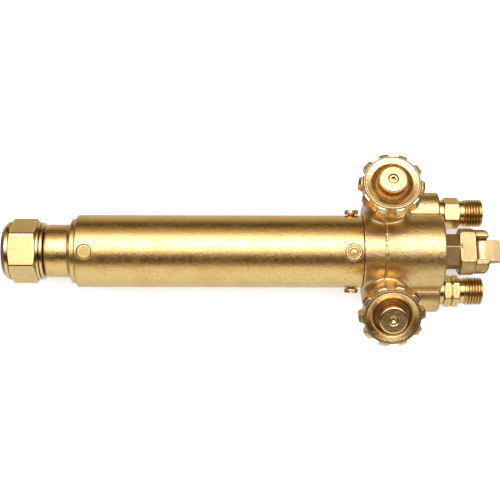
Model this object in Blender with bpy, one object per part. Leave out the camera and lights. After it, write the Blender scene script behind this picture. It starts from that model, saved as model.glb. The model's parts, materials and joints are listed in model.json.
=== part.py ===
"""Two-valve brass torch handle, lying on its back: coupling nut towards -X, hose ends towards +X,
valve knobs up. Metres, +Z up, origin on the bench under the middle of the bounding box.

Every piece is its own closed solid. Lengths along the torch are measured from the coupling nut's
front face, radii from the torch's axis, and heights along a valve from the foot of its spindle.
"""

import math

import bmesh
import bpy
from mathutils import Matrix, Vector

MM = 0.001
WELD = 1e-7  # vertices nearer than this are one
FIT_GAP = 0.3 * MM  # between two pieces that seat on each other
OVERCUT = 1.0 * MM  # how far a cutter runs past the wall that it cuts
JOINT_OVERLAP = 0.3 * MM  # how deep joined shapes sink into each other
CORE_SHARE = 0.94  # of a hexagon's flats, the turned core inside it
CROWN_SHARE = 0.98  # of a hexagon's flats, the circle that its end faces are turned to

FINE = 40  # facets round a large turning
MEDIUM = 24
COARSE = 16
ROUND_STEPS = 12  # from pole to pole of a ball

# Coupling nut and the ring that holds it on the head.
NUT_ACROSS_FLATS = 28.6 * MM
NUT_LENGTH = 18.7 * MM
NUT_FACE_RADIUS = 12.35 * MM
NUT_COLLAR_RADIUS = 14.6 * MM
NUT_BORE_RADIUS = 10.6 * MM
NUT_FACE_CHAMFER = 2.1 * MM
NUT_FRONT_COLLAR = 3.8 * MM
NUT_REAR_COLLAR = 1.4 * MM
NUT_CORNER_CHAMFER = 2.0 * MM
RING_THICKNESS = 1.6 * MM
RING_RADIUS = 14.2 * MM
RING_HUB_LENGTH = 1.5 * MM
RING_SPLIT = 2.0 * MM

# Head: gas seat, journal of the nut, neck, and the spigot that carries the barrel.
HEAD_SETBACK = 9.0 * MM
HEAD_FLANGE_RADIUS = 9.9 * MM
JOURNAL_RADIUS = 8.9 * MM
JOURNAL_CLEARANCE = 0.4 * MM
SEAT_MOUTH_RADIUS = 7.5 * MM
SEAT_THROAT_RADIUS = 3.8 * MM
SEAT_DEPTH = 6.5 * MM
NECK_RADIUS = 13.4 * MM
NECK_LENGTH = 11.9 * MM
NECK_EDGE = 1.4 * MM
SHOULDER_CONE = 1.6 * MM
SHOULDER_LENGTH = 3.4 * MM
SPIGOT_LENGTH = 12.0 * MM
SPIGOT_CLEARANCE = 0.3 * MM

# Barrel and what fastens it.
BARREL_RADIUS = 18.2 * MM
BARREL_WALL = 1.6 * MM
BARREL_LENGTH = 142.6 * MM
BARREL_EDGE = 1.2 * MM
BARREL_CLOCK = math.radians(-3.0)  # the barrel's holes, turned from the valves' plane
PLUG_RADIUS = 3.5 * MM
PLUG_FROM_FRONT = 5.4 * MM
PLUG_SUNK = 0.5 * MM
FASTENER_FROM_REAR = 5.0 * MM
RIVET_RADIUS = 4.0 * MM
RIVET_DIMPLE_RADIUS = 2.25 * MM
RIVET_DIMPLE_DEPTH = 0.6 * MM
RIVET_SUNK = 0.15 * MM
SCREW_HEAD_RADIUS = 3.5 * MM
SCREW_HEAD_HEIGHT = 2.4 * MM
SCREW_SHANK_RADIUS = 1.7 * MM
SCREW_SLOT_WIDTH = 1.0 * MM
SCREW_SLOT_DEPTH = 1.1 * MM
FASTENER_DEPTH = 4.0 * MM  # how far a fastener reaches into a spigot

# Gas tubes inside the barrel.
OXYGEN_TUBE_RADIUS = 4.0 * MM
FUEL_TUBE_RADIUS = 3.2 * MM
TUBE_WALL = 0.9 * MM
FUEL_TUBE_OFFSET = -8.0 * MM
TUBE_SOCKET = 7.0 * MM
FUEL_PORT_OFFSET = -6.4 * MM
GAS_PORT_RADIUS = 1.3 * MM

# Forged rear body.
COLLAR_LENGTH = 11.1 * MM
BODY_RADIUS = 19.1 * MM
BODY_LENGTH = 40.0 * MM
BODY_REAR_EDGE = 0.8 * MM
WING_SETBACK = 0.5 * MM  # from the body's rear face to the wings'
WING_RADIUS = 10.7 * MM
INLET_OFFSET = 19.8 * MM
INLET_DROP = 7.8 * MM
VALVE_STATION = 11.9 * MM  # from the body's front face to the valves' plane
VALVE_TILT = math.radians(19.5)
VALVE_FOOT_OFFSET = 18.8 * MM
VALVE_BOSS_RADIUS = 11.0 * MM
VALVE_BOSS_HEIGHT = 26.0 * MM

# Needle valve, by height above the foot of its spindle.
CHAMBER_RADIUS = 3.4 * MM
GLAND_RADIUS = 5.7 * MM
GLAND_DEPTH = 6.0 * MM
SPINDLE_RADIUS = 3.0 * MM
SPINDLE_END_RADIUS = 2.05 * MM
SPINDLE_DIMPLE = 1.4 * MM
BALL_RADIUS = 1.6 * MM
BALL_HEIGHT = 3.2 * MM
PACKING_HEIGHT = 2.6 * MM
GLAND_RING_HEIGHT = 1.0 * MM
PACKING_NUT_ACROSS_FLATS = 12.7 * MM
PACKING_NUT_HEIGHT = 4.5 * MM
KNOB_CLEARANCE = 0.9 * MM

# Knob.
KNOB_LOBES = 10
KNOB_PHASE = math.radians(31.5)
KNOB_LOBE_RADIUS = 16.1 * MM
KNOB_VALLEY_RADIUS = 13.9 * MM
KNOB_RIM_HEIGHT = 9.2 * MM
KNOB_EDGE = 0.8 * MM
KNOB_DISH_RADIUS = 12.3 * MM
KNOB_DISH_FLOOR_RADIUS = 8.6 * MM
KNOB_DISH_DEPTH = 4.2 * MM
KNOB_BOSS_RADIUS = 7.0 * MM
KNOB_BOSS_HEIGHT = 4.0 * MM
KNOB_CAVITY_RADIUS = 9.6 * MM
KNOB_CAVITY_DEPTH = 2.6 * MM
POINTS_PER_LOBE = 6

# Hose nipples, from the wings' rear faces.
NIPPLE_SHANK_RADIUS = 5.8 * MM
NIPPLE_SHANK_LENGTH = 9.0 * MM
NIPPLE_NECK_RADIUS = 6.75 * MM
NIPPLE_NECK_LENGTH = 2.3 * MM
NIPPLE_ACROSS_FLATS = 14.3 * MM
NIPPLE_HEX_LENGTH = 7.7 * MM
NIPPLE_RELIEF_LENGTH = 3.0 * MM
NIPPLE_RELIEF_RADIUS = 6.4 * MM
NIPPLE_THREAD_RADIUS = 7.144 * MM
NIPPLE_THREAD_DEPTH = 0.85 * MM
NIPPLE_THREAD_PITCH = 1.411 * MM
NIPPLE_THREADS = 6
NIPPLE_BORE_RADIUS = 3.4 * MM
NIPPLE_SEAT_RADIUS = 4.6 * MM
NIPPLE_SEAT_DEPTH = 5.2 * MM
SPOT_FACE_CLEARANCE = 0.6 * MM
HEX_CHAMFER = 1.0 * MM
FUEL_NOTCH_WIDTH = 1.2 * MM
FUEL_NOTCH_LAND = 0.2 * MM  # from the flats to the bottom of a notch

# Rear swivel, from the body's rear face.
SWIVEL_CLOCK = math.radians(15.5)
SWIVEL_SHANK_RADIUS = 6.0 * MM
SWIVEL_SHANK_LENGTH = 9.0 * MM
SWIVEL_ACROSS_FLATS = 15.9 * MM
SWIVEL_HEX_LENGTH = 7.7 * MM
SWIVEL_FLARE_LENGTH = 1.7 * MM
FLANGE_RADIUS = 11.7 * MM
FLANGE_LENGTH = 6.7 * MM
FLANGE_FLAT = 8.7 * MM  # from the axis to each flat
FLANGE_EDGE = 1.2 * MM
JAW_LENGTH = 6.9 * MM
JAW_RADIUS = 11.1 * MM
JAW_HALF_DEPTH = 7.0 * MM
JAW_END_EDGE = 2.4 * MM
PIN_RADIUS = 1.6 * MM
PIN_FROM_FLANGE = 3.4 * MM
PIN_SUNK = 0.6 * MM
TAB_WIDTH = 11.2 * MM
TAB_THICKNESS = 4.9 * MM
TAB_REACH = 9.7 * MM  # from the pin to the tip
TAB_BEVEL_LENGTH = 3.5 * MM
TAB_BEVEL = 0.5 * MM
TAB_SIDE_GAP = 0.35 * MM

# Places along the torch, worked out from the sizes above.
RING_FRONT = NUT_LENGTH + FIT_GAP
NECK_FRONT = RING_FRONT + RING_THICKNESS + FIT_GAP
SHOULDER_FRONT = NECK_FRONT + NECK_LENGTH
SHOULDER_REAR = SHOULDER_FRONT + SHOULDER_LENGTH
HEAD_REAR = SHOULDER_REAR + SPIGOT_LENGTH
BARREL_FRONT = SHOULDER_REAR + FIT_GAP
BARREL_REAR = BARREL_FRONT + BARREL_LENGTH
BODY_FRONT = BARREL_REAR + FIT_GAP
BODY_REAR = BODY_FRONT + BODY_LENGTH
WING_REAR = BODY_REAR - WING_SETBACK
VALVE_AT = BODY_FRONT + VALVE_STATION
FLANGE_FRONT = FIT_GAP + SWIVEL_HEX_LENGTH + SWIVEL_FLARE_LENGTH
FLANGE_REAR = FLANGE_FRONT + FLANGE_LENGTH
PIN_AT = BODY_REAR + FLANGE_REAR + PIN_FROM_FLANGE
OVERALL_LENGTH = PIN_AT + TAB_REACH
AXIS_HEIGHT = BARREL_RADIUS
BARREL_BORE = BARREL_RADIUS - BARREL_WALL
SPIGOT_RADIUS = BARREL_BORE - SPIGOT_CLEARANCE
FASTENER_AT = BARREL_REAR - FASTENER_FROM_REAR
PLUG_AT = BARREL_FRONT + PLUG_FROM_FRONT

# Heights along a valve, worked out from the sizes above.
GLAND_FLOOR = VALVE_BOSS_HEIGHT - GLAND_DEPTH
PACKING_TOP = GLAND_FLOOR + FIT_GAP + PACKING_HEIGHT
GLAND_RING_TOP = PACKING_TOP + FIT_GAP + GLAND_RING_HEIGHT
PACKING_NUT_BASE = VALVE_BOSS_HEIGHT + FIT_GAP
PACKING_NUT_TOP = PACKING_NUT_BASE + PACKING_NUT_HEIGHT
KNOB_BASE = PACKING_NUT_TOP + KNOB_CLEARANCE
KNOB_FACE = KNOB_BASE + KNOB_RIM_HEIGHT
KNOB_TOP = KNOB_FACE + KNOB_BOSS_HEIGHT

SIDES = {"oxygen": 1, "fuel": -1}


def clear_scene():
    for obj in list(bpy.data.objects):
        bpy.data.objects.remove(obj)


def material(name, colour, roughness, metallic=1.0):
    made = bpy.data.materials.new(name)
    made.use_nodes = True
    shader = made.node_tree.nodes["Principled BSDF"]
    shader.inputs["Base Color"].default_value = (*colour, 1.0)
    shader.inputs["Roughness"].default_value = roughness
    shader.inputs["Metallic"].default_value = metallic
    return made


def along(station, side=0.0, rise=0.0):
    """A frame on the torch: local Z along the torch, from a point at this station."""
    point = Vector((station - OVERALL_LENGTH / 2, side, AXIS_HEIGHT + rise))
    return Matrix.Translation(point) @ Matrix.Rotation(math.pi / 2, 4, "Y")


def radial(station, angle):
    """A frame on the torch's axis whose local Z points outwards, at this angle from straight up."""
    point = Vector((station - OVERALL_LENGTH / 2, 0.0, AXIS_HEIGHT))
    return Matrix.Translation(point) @ Matrix.Rotation(-angle, 4, "X")


def valve_frame(side):
    """A frame at the foot of a valve's spindle, local Z up the spindle."""
    point = Vector((VALVE_AT - OVERALL_LENGTH / 2, side * VALVE_FOOT_OFFSET, AXIS_HEIGHT - INLET_DROP))
    return Matrix.Translation(point) @ Matrix.Rotation(-side * VALVE_TILT, 4, "X")


def swivel_frame(station):
    """A frame on the torch's axis, local Z backwards and local Y along the swivel's pin."""
    point = Vector((station - OVERALL_LENGTH / 2, 0.0, AXIS_HEIGHT))
    return (
        Matrix.Translation(point)
        @ Matrix.Rotation(-SWIVEL_CLOCK, 4, "X")
        @ Matrix.Rotation(math.pi / 2, 4, "Y")
    )


def add_object(name, bm, frame, finish=None, parent=None):
    """Links a bmesh as a placed object. A piece with no finish is a helper that no render shows."""
    bmesh.ops.remove_doubles(bm, verts=bm.verts, dist=WELD)
    bmesh.ops.recalc_face_normals(bm, faces=bm.faces)
    mesh = bpy.data.meshes.new(name)
    bm.to_mesh(mesh)
    bm.free()
    mesh.shade_smooth()
    mesh.set_sharp_from_angle(angle=math.radians(35))
    obj = bpy.data.objects.new(name, mesh)
    bpy.context.scene.collection.objects.link(obj)
    if finish is None:
        obj.hide_render = True
        obj.display_type = "WIRE"
    else:
        mesh.materials.append(finish)
    if parent is not None:
        obj.parent = parent
    obj.matrix_world = frame
    return obj


def turned_bmesh(outline, segments):
    """A solid of revolution about local Z from (height, radius) pairs. An outline that starts and
    ends on the axis isn't closed along it."""
    bm = bmesh.new()
    points = [bm.verts.new((radius, 0.0, height)) for height, radius in outline]
    pairs = list(zip(points, points[1:]))
    if outline[0][1] > 0 or outline[-1][1] > 0:
        pairs.append((points[-1], points[0]))
    edges = [bm.edges.new(pair) for pair in pairs]
    bmesh.ops.spin(
        bm,
        geom=points + edges,
        cent=(0, 0, 0),
        axis=(0, 0, 1),
        angle=math.tau,
        steps=segments,
        use_merge=True,
    )
    bmesh.ops.remove_doubles(bm, verts=bm.verts, dist=WELD)
    return bm


def turned(name, outline, frame, finish=None, segments=MEDIUM, parent=None):
    return add_object(name, turned_bmesh(outline, segments), frame, finish, parent)


def rod(name, start, end, radius, frame, finish=None, segments=COARSE):
    """A plain cylinder along local Z, from start to end."""
    return turned(name, [(start, 0), (start, radius), (end, radius), (end, 0)], frame, finish, segments)


def round_footed_rod(name, length, radius, frame):
    """A cylinder along local Z with a half ball under its foot."""
    foot = ball_outline(radius, ROUND_STEPS)[: ROUND_STEPS // 2 + 1]
    return turned(name, [*foot, (length, radius), (length, 0)], frame, segments=MEDIUM)


def rod_between(name, start, end, radius):
    """A plain cylinder cutter between two points of the world."""
    direction = end - start
    frame = Matrix.Translation(start) @ direction.to_track_quat("Z", "Y").to_matrix().to_4x4()
    return rod(name, -radius, direction.length + radius, radius, frame, segments=12)


def hexagon(name, across_flats, start, end, frame, turn=0.0):
    """A hexagonal prism along local Z, with a corner on local X when turn is 0."""
    bm = bmesh.new()
    corner = across_flats / math.sqrt(3)
    angles = [turn + math.tau * i / 6 for i in range(6)]
    face = bm.faces.new([bm.verts.new((corner * math.cos(a), corner * math.sin(a), start)) for a in angles])
    grown = bmesh.ops.extrude_face_region(bm, geom=[face])
    moved = [v for v in grown["geom"] if isinstance(v, bmesh.types.BMVert)]
    bmesh.ops.translate(bm, verts=moved, vec=(0, 0, end - start))
    return add_object(name, bm, frame)


def block(name, low, high, frame):
    """A box between two corners in a local frame."""
    bm = bmesh.new()
    bmesh.ops.create_cube(bm, size=1.0)
    size = Vector(high) - Vector(low)
    bmesh.ops.scale(bm, verts=bm.verts, vec=size)
    bmesh.ops.translate(bm, verts=bm.verts, vec=(Vector(high) + Vector(low)) / 2)
    return add_object(name, bm, frame)


def combine(target, operation, *others):
    """Booleans the target with each helper in turn."""
    for other in others:
        step = target.modifiers.new(other.name, "BOOLEAN")
        step.operation = operation
        step.solver = "EXACT"
        step.object = other
    return target


def hex_turning(
    name, outline, across_flats, start, end, chamfer, bore, frame, finish, turn=0.0, segments=MEDIUM
):
    """A turned piece with a hexagon on it, whose corners are chamfered at both ends.

    outline is the turned outside, as (height, radius) pairs from axis to axis, and bore the same for
    the hole through it.
    """
    corner = across_flats / math.sqrt(3)
    small = across_flats / 2 * CROWN_SHARE
    large = corner + OVERCUT / 2
    cone = chamfer * (large - small) / (corner - small)
    piece = turned(name, outline, frame, finish, segments)
    nut = hexagon(name + "_hexagon", across_flats, start, end, frame, turn)
    crown = turned(
        name + "_crown",
        [
            (start - OVERCUT, 0),
            (start - OVERCUT, small),
            (start, small),
            (start + cone, large),
            (end - cone, large),
            (end, small),
            (end + OVERCUT, small),
            (end + OVERCUT, 0),
        ],
        frame @ Matrix.Rotation(math.pi / segments, 4, "Z"),
        segments=segments,
    )
    combine(nut, "INTERSECT", crown)
    combine(piece, "UNION", nut)
    combine(piece, "DIFFERENCE", turned(name + "_bore", bore, frame, segments=segments))
    return piece


def coupling_nut(finish):
    hex_start = NUT_FRONT_COLLAR - JOINT_OVERLAP
    hex_end = NUT_LENGTH - NUT_REAR_COLLAR + JOINT_OVERLAP
    core = NUT_ACROSS_FLATS / 2 * CORE_SHARE
    outside = [
        (0, 0),
        (0, NUT_FACE_RADIUS),
        (NUT_FACE_CHAMFER, NUT_COLLAR_RADIUS),
        (NUT_FRONT_COLLAR, NUT_COLLAR_RADIUS),
        (NUT_FRONT_COLLAR, core),
        (NUT_LENGTH - NUT_REAR_COLLAR, core),
        (NUT_LENGTH - NUT_REAR_COLLAR, NUT_COLLAR_RADIUS),
        (NUT_LENGTH, NUT_COLLAR_RADIUS),
        (NUT_LENGTH, 0),
    ]
    bore = [
        (-OVERCUT, 0),
        (-OVERCUT, NUT_BORE_RADIUS + OVERCUT / 2),
        (0, NUT_BORE_RADIUS + OVERCUT / 2),
        (OVERCUT / 2, NUT_BORE_RADIUS),
        (NUT_LENGTH + OVERCUT, NUT_BORE_RADIUS),
        (NUT_LENGTH + OVERCUT, 0),
    ]
    return hex_turning(
        "coupling_nut",
        outside,
        NUT_ACROSS_FLATS,
        hex_start,
        hex_end,
        NUT_CORNER_CHAMFER,
        bore,
        along(0),
        finish,
        turn=math.pi / 2,
        segments=FINE,
    )


def retaining_ring(finish):
    """A split ring, with a hub in the nut's bore that bears on the head's flange."""
    inner = JOURNAL_RADIUS + JOURNAL_CLEARANCE
    hub = NUT_BORE_RADIUS - FIT_GAP
    rear = RING_FRONT + RING_THICKNESS
    edge = RING_THICKNESS / 4
    outline = [
        (RING_FRONT - RING_HUB_LENGTH, inner),
        (RING_FRONT - RING_HUB_LENGTH, hub),
        (RING_FRONT, hub),
        (RING_FRONT, RING_RADIUS - edge),
        (RING_FRONT + edge, RING_RADIUS),
        (rear - edge, RING_RADIUS),
        (rear, RING_RADIUS - edge),
        (rear, inner),
    ]
    ring = turned("nut_retaining_ring", outline, along(0), finish, FINE)
    split = block(
        "ring_split",
        (0, -RING_SPLIT / 2, RING_FRONT - RING_HUB_LENGTH - OVERCUT),
        (RING_RADIUS + OVERCUT, RING_SPLIT / 2, rear + OVERCUT),
        along(0),
    )
    return combine(ring, "DIFFERENCE", split)


def head_connector(finish):
    """The turned head, with its conical gas seat, gas ports and tube sockets."""
    flange_rear = RING_FRONT - RING_HUB_LENGTH - JOURNAL_CLEARANCE
    shoulder_radius = SPIGOT_RADIUS
    outline = [
        (HEAD_SETBACK, 0),
        (HEAD_SETBACK, HEAD_FLANGE_RADIUS),
        (flange_rear, HEAD_FLANGE_RADIUS),
        (flange_rear, JOURNAL_RADIUS),
        (NECK_FRONT, JOURNAL_RADIUS),
        (NECK_FRONT, NECK_RADIUS - NECK_EDGE),
        (NECK_FRONT + NECK_EDGE * 0.3, NECK_RADIUS - NECK_EDGE * 0.3),
        (NECK_FRONT + NECK_EDGE, NECK_RADIUS),
        (SHOULDER_FRONT, NECK_RADIUS),
        (SHOULDER_FRONT + SHOULDER_CONE, shoulder_radius),
        (HEAD_REAR, shoulder_radius),
        (HEAD_REAR, 0),
    ]
    head = turned("head_connector", outline, along(0), finish, FINE)
    seat_floor = HEAD_SETBACK + SEAT_DEPTH
    seat = turned(
        "head_seat",
        [
            (HEAD_SETBACK - OVERCUT, 0),
            (HEAD_SETBACK - OVERCUT, SEAT_MOUTH_RADIUS),
            (HEAD_SETBACK, SEAT_MOUTH_RADIUS),
            (seat_floor, SEAT_THROAT_RADIUS),
            (seat_floor, 0),
        ],
        along(0),
    )
    socket_floor = HEAD_REAR - TUBE_SOCKET
    oxygen_port = rod(
        "head_oxygen_port", seat_floor - OVERCUT, socket_floor + OVERCUT, GAS_PORT_RADIUS * 2, along(0)
    )
    fuel_port = rod(
        "head_fuel_port",
        HEAD_SETBACK - OVERCUT,
        socket_floor + OVERCUT,
        GAS_PORT_RADIUS,
        along(0, FUEL_PORT_OFFSET),
        segments=12,
    )
    sockets = tube_sockets("head", socket_floor, HEAD_REAR + OVERCUT)
    combine(head, "DIFFERENCE", seat, oxygen_port, fuel_port, *sockets)
    hole = rod(
        "head_plug_hole",
        SPIGOT_RADIUS - FASTENER_DEPTH,
        BARREL_RADIUS,
        PLUG_RADIUS + FIT_GAP,
        radial(PLUG_AT, BARREL_CLOCK),
    )
    return combine(head, "DIFFERENCE", hole)


def tube_sockets(owner, start, end):
    """Cutters for the blind holes that the two gas tubes are brazed into."""
    return [
        rod(owner + "_oxygen_socket", start, end, OXYGEN_TUBE_RADIUS + FIT_GAP, along(0)),
        rod(owner + "_fuel_socket", start, end, FUEL_TUBE_RADIUS + FIT_GAP, along(0, FUEL_TUBE_OFFSET)),
    ]


def gas_tubes(finish):
    front = HEAD_REAR - TUBE_SOCKET + FIT_GAP
    rear = BODY_FRONT - SPIGOT_LENGTH + TUBE_SOCKET - FIT_GAP
    for name, radius, side in (
        ("oxygen_tube", OXYGEN_TUBE_RADIUS, 0.0),
        ("fuel_tube", FUEL_TUBE_RADIUS, FUEL_TUBE_OFFSET),
    ):
        bore = radius - TUBE_WALL
        outline = [(front, bore), (front, radius), (rear, radius), (rear, bore)]
        turned(name, outline, along(0, side), finish, COARSE)


def barrel(finish):
    outline = [
        (BARREL_FRONT, BARREL_BORE),
        (BARREL_FRONT, BARREL_RADIUS - BARREL_EDGE),
        (BARREL_FRONT + BARREL_EDGE, BARREL_RADIUS),
        (BARREL_REAR, BARREL_RADIUS),
        (BARREL_REAR, BARREL_BORE),
    ]
    tube = turned("barrel", outline, along(0), finish, FINE)
    low = BARREL_BORE - OVERCUT
    high = BARREL_RADIUS + OVERCUT
    holes = [rod("barrel_plug_hole", low, high, PLUG_RADIUS + FIT_GAP, radial(PLUG_AT, BARREL_CLOCK))]
    for turn in (0, 180, 90, -90):
        radius = RIVET_RADIUS if turn in (0, 180) else SCREW_SHANK_RADIUS
        frame = radial(FASTENER_AT, BARREL_CLOCK + math.radians(turn))
        holes.append(rod(f"barrel_hole_{turn}", low, high, radius + FIT_GAP, frame))
    return combine(tube, "DIFFERENCE", *holes)


def barrel_fasteners(finish):
    """The flush plug at the front, and two rivets and two slotted screws at the rear."""
    inner = SPIGOT_RADIUS - FASTENER_DEPTH + FIT_GAP
    rod("front_plug", inner, BARREL_RADIUS - PLUG_SUNK, PLUG_RADIUS, radial(PLUG_AT, BARREL_CLOCK), finish)
    top = BARREL_RADIUS - RIVET_SUNK
    rivet = [
        (inner, 0),
        (inner, SCREW_SHANK_RADIUS),
        (SPIGOT_RADIUS + FIT_GAP, SCREW_SHANK_RADIUS),
        (SPIGOT_RADIUS + FIT_GAP, RIVET_RADIUS),
        (top, RIVET_RADIUS),
        (top, RIVET_DIMPLE_RADIUS),
        (top - RIVET_DIMPLE_DEPTH, RIVET_DIMPLE_RADIUS),
        (top - RIVET_DIMPLE_DEPTH, 0),
    ]
    for name, turn in (("barrel_rivet_front", 0.0), ("barrel_rivet_back", math.pi)):
        turned(name, rivet, radial(FASTENER_AT, BARREL_CLOCK + turn), finish, COARSE)
    seat = BARREL_RADIUS + FIT_GAP
    head = seat + SCREW_HEAD_HEIGHT
    edge = SCREW_HEAD_HEIGHT / 4
    screw = [
        (inner, 0),
        (inner, SCREW_SHANK_RADIUS),
        (seat, SCREW_SHANK_RADIUS),
        (seat, SCREW_HEAD_RADIUS),
        (head - edge, SCREW_HEAD_RADIUS),
        (head, SCREW_HEAD_RADIUS - edge),
        (head, 0),
    ]
    for name, turn in (("barrel_screw_oxygen_side", 90), ("barrel_screw_fuel_side", -90)):
        frame = radial(FASTENER_AT, BARREL_CLOCK + math.radians(turn))
        piece = turned(name, screw, frame, finish, COARSE)
        reach = SCREW_HEAD_RADIUS + OVERCUT
        slot = block(
            name + "_slot",
            (-SCREW_SLOT_WIDTH / 2, -reach, head - SCREW_SLOT_DEPTH),
            (SCREW_SLOT_WIDTH / 2, reach, head + OVERCUT),
            frame,
        )
        combine(piece, "DIFFERENCE", slot)


def rear_body(finish):
    """The forging: spigot and collar, round body, a wing to each hose inlet and a boss for each valve,
    with a flat underside, bored for the tubes, valves, nipples, swivel and fasteners."""
    spigot_front = BODY_FRONT - SPIGOT_LENGTH
    outline = [
        (spigot_front, 0),
        (spigot_front, SPIGOT_RADIUS),
        (BODY_FRONT, SPIGOT_RADIUS),
        (BODY_FRONT, BARREL_RADIUS),
        (BODY_FRONT + COLLAR_LENGTH, BARREL_RADIUS),
        (BODY_FRONT + COLLAR_LENGTH, BODY_RADIUS),
        (BODY_REAR - BODY_REAR_EDGE, BODY_RADIUS),
        (BODY_REAR, BODY_RADIUS - BODY_REAR_EDGE),
        (BODY_REAR, 0),
    ]
    body = turned("rear_body", outline, along(0), finish, FINE)
    for name, side in SIDES.items():
        boss = round_footed_rod(name + "_boss", VALVE_BOSS_HEIGHT, VALVE_BOSS_RADIUS, valve_frame(side))
        inlet = along(VALVE_AT, side * INLET_OFFSET, -INLET_DROP)
        wing = round_footed_rod(name + "_wing", WING_REAR - VALVE_AT, WING_RADIUS, inlet)
        combine(body, "UNION", boss, wing)
    floor = block(
        "underside_cut",
        (VALVE_AT / 2, -2 * BODY_RADIUS, -AXIS_HEIGHT - BODY_RADIUS),
        (BODY_REAR + OVERCUT, 2 * BODY_RADIUS, -AXIS_HEIGHT),
        Matrix.Translation((-OVERALL_LENGTH / 2, 0, AXIS_HEIGHT)),
    )
    combine(body, "DIFFERENCE", floor)
    socket_floor = spigot_front + TUBE_SOCKET
    combine(body, "DIFFERENCE", *tube_sockets("body", spigot_front - OVERCUT, socket_floor))
    centre = along(0)
    stud = rod(
        "swivel_socket",
        BODY_REAR - SWIVEL_SHANK_LENGTH - FIT_GAP,
        BODY_REAR + OVERCUT,
        SWIVEL_SHANK_RADIUS + FIT_GAP,
        centre,
    )
    combine(body, "DIFFERENCE", stud)
    for name, side in SIDES.items():
        combine(body, "DIFFERENCE", *valve_and_inlet_bores(name, side, socket_floor))
    low = SPIGOT_RADIUS - FASTENER_DEPTH
    for turn in (0, 90, 180, -90):
        frame = radial(FASTENER_AT, BARREL_CLOCK + math.radians(turn))
        hole = rod(f"body_hole_{turn}", low, BARREL_BORE, SCREW_SHANK_RADIUS + FIT_GAP, frame, segments=12)
        combine(body, "DIFFERENCE", hole)
    return body


def ball_outline(radius, steps):
    """A half circle of (height, radius) pairs, pole to pole."""
    inner = [math.pi * i / steps for i in range(1, steps)]
    arc = [(-radius * math.cos(a), radius * math.sin(a)) for a in inner]
    return [(-radius, 0), *arc, (radius, 0)]


def valve_and_inlet_bores(name, side, socket_floor):
    """Cutters for one valve's chamber and gland, its inlet and its gas passage to the tube."""
    frame = valve_frame(side)
    chamber = turned(
        name + "_chamber",
        [
            (0, 0),
            (BALL_HEIGHT - BALL_RADIUS - FIT_GAP, CHAMBER_RADIUS),
            (GLAND_FLOOR, CHAMBER_RADIUS),
            (GLAND_FLOOR, GLAND_RADIUS),
            (VALVE_BOSS_HEIGHT + OVERCUT, GLAND_RADIUS),
            (VALVE_BOSS_HEIGHT + OVERCUT, 0),
        ],
        frame,
        segments=COARSE,
    )
    inlet = along(0, side * INLET_OFFSET, -INLET_DROP)
    socket = rod(
        name + "_inlet_socket",
        WING_REAR - NIPPLE_SHANK_LENGTH - FIT_GAP,
        BODY_REAR + OVERCUT,
        NIPPLE_SHANK_RADIUS + FIT_GAP,
        inlet,
    )
    spot_face = rod(
        name + "_spot_face", WING_REAR, BODY_REAR + OVERCUT, NIPPLE_NECK_RADIUS + SPOT_FACE_CLEARANCE, inlet
    )
    foot = frame @ Vector((0, 0, BALL_HEIGHT))
    drilled = rod_between(
        name + "_inlet_port",
        inlet @ Vector((0, 0, WING_REAR - NIPPLE_SHANK_LENGTH)),
        foot,
        GAS_PORT_RADIUS,
    )
    tube = FUEL_TUBE_OFFSET if name == "fuel" else 0.0
    outlet = rod_between(name + "_outlet_port", along(socket_floor, tube).translation, foot, GAS_PORT_RADIUS)
    return chamber, socket, spot_face, drilled, outlet


def valve(name, side, finishes):
    """Ball, packing, gland ring, packing nut, spindle and knob on one valve's axis."""
    frame = valve_frame(side)
    axis = bpy.data.objects.new(name + "_valve_axis", None)
    axis.matrix_world = frame
    bpy.context.scene.collection.objects.link(axis)
    bpy.context.view_layer.update()
    place = {"frame": frame, "parent": axis}

    at_ball = frame @ Matrix.Translation((0, 0, BALL_HEIGHT))
    outline = ball_outline(BALL_RADIUS, ROUND_STEPS)
    turned(name + "_seat_ball", outline, at_ball, finishes["steel"], COARSE, axis)

    inner = SPINDLE_RADIUS + FIT_GAP
    outer = GLAND_RADIUS - FIT_GAP
    start = GLAND_FLOOR + FIT_GAP
    rings = ((name + "_packing", start, PACKING_TOP, "packing"),)
    rings += ((name + "_gland_ring", PACKING_TOP + FIT_GAP, GLAND_RING_TOP, "machined"),)
    for ring, low, high, finish in rings:
        outline = [(low, inner), (low, outer), (high, outer), (high, inner)]
        turned(ring, outline, finish=finishes[finish], **place)

    shank = [
        (GLAND_RING_TOP + FIT_GAP, 0),
        (GLAND_RING_TOP + FIT_GAP, outer),
        (PACKING_NUT_BASE, outer),
        (PACKING_NUT_TOP, outer),
        (PACKING_NUT_TOP, 0),
    ]
    bore = [(GLAND_FLOOR, 0), (GLAND_FLOOR, inner), (KNOB_BASE, inner), (KNOB_BASE, 0)]
    nut = hex_turning(
        name + "_packing_nut",
        shank,
        PACKING_NUT_ACROSS_FLATS,
        PACKING_NUT_BASE,
        PACKING_NUT_TOP,
        HEX_CHAMFER,
        bore,
        frame,
        finishes["machined"],
    )
    nut.parent = axis
    nut.matrix_world = frame

    ball_top = BALL_HEIGHT + BALL_RADIUS + FIT_GAP
    web_floor = KNOB_BASE + KNOB_CAVITY_DEPTH
    tip = KNOB_TOP - FIT_GAP
    spindle = [
        (ball_top, 0),
        (ball_top, BALL_RADIUS * 0.7),
        (ball_top + BALL_RADIUS, SPINDLE_RADIUS),
        (web_floor - FIT_GAP, SPINDLE_RADIUS),
        (web_floor - FIT_GAP, SPINDLE_END_RADIUS),
        (tip, SPINDLE_END_RADIUS),
        (tip, SPINDLE_DIMPLE),
        (tip - SPINDLE_DIMPLE, 0),
    ]
    turned(name + "_spindle", spindle, finish=finishes["machined"], segments=COARSE, **place)
    knob(name + "_knob", side, finishes["knob"], **place)


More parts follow.
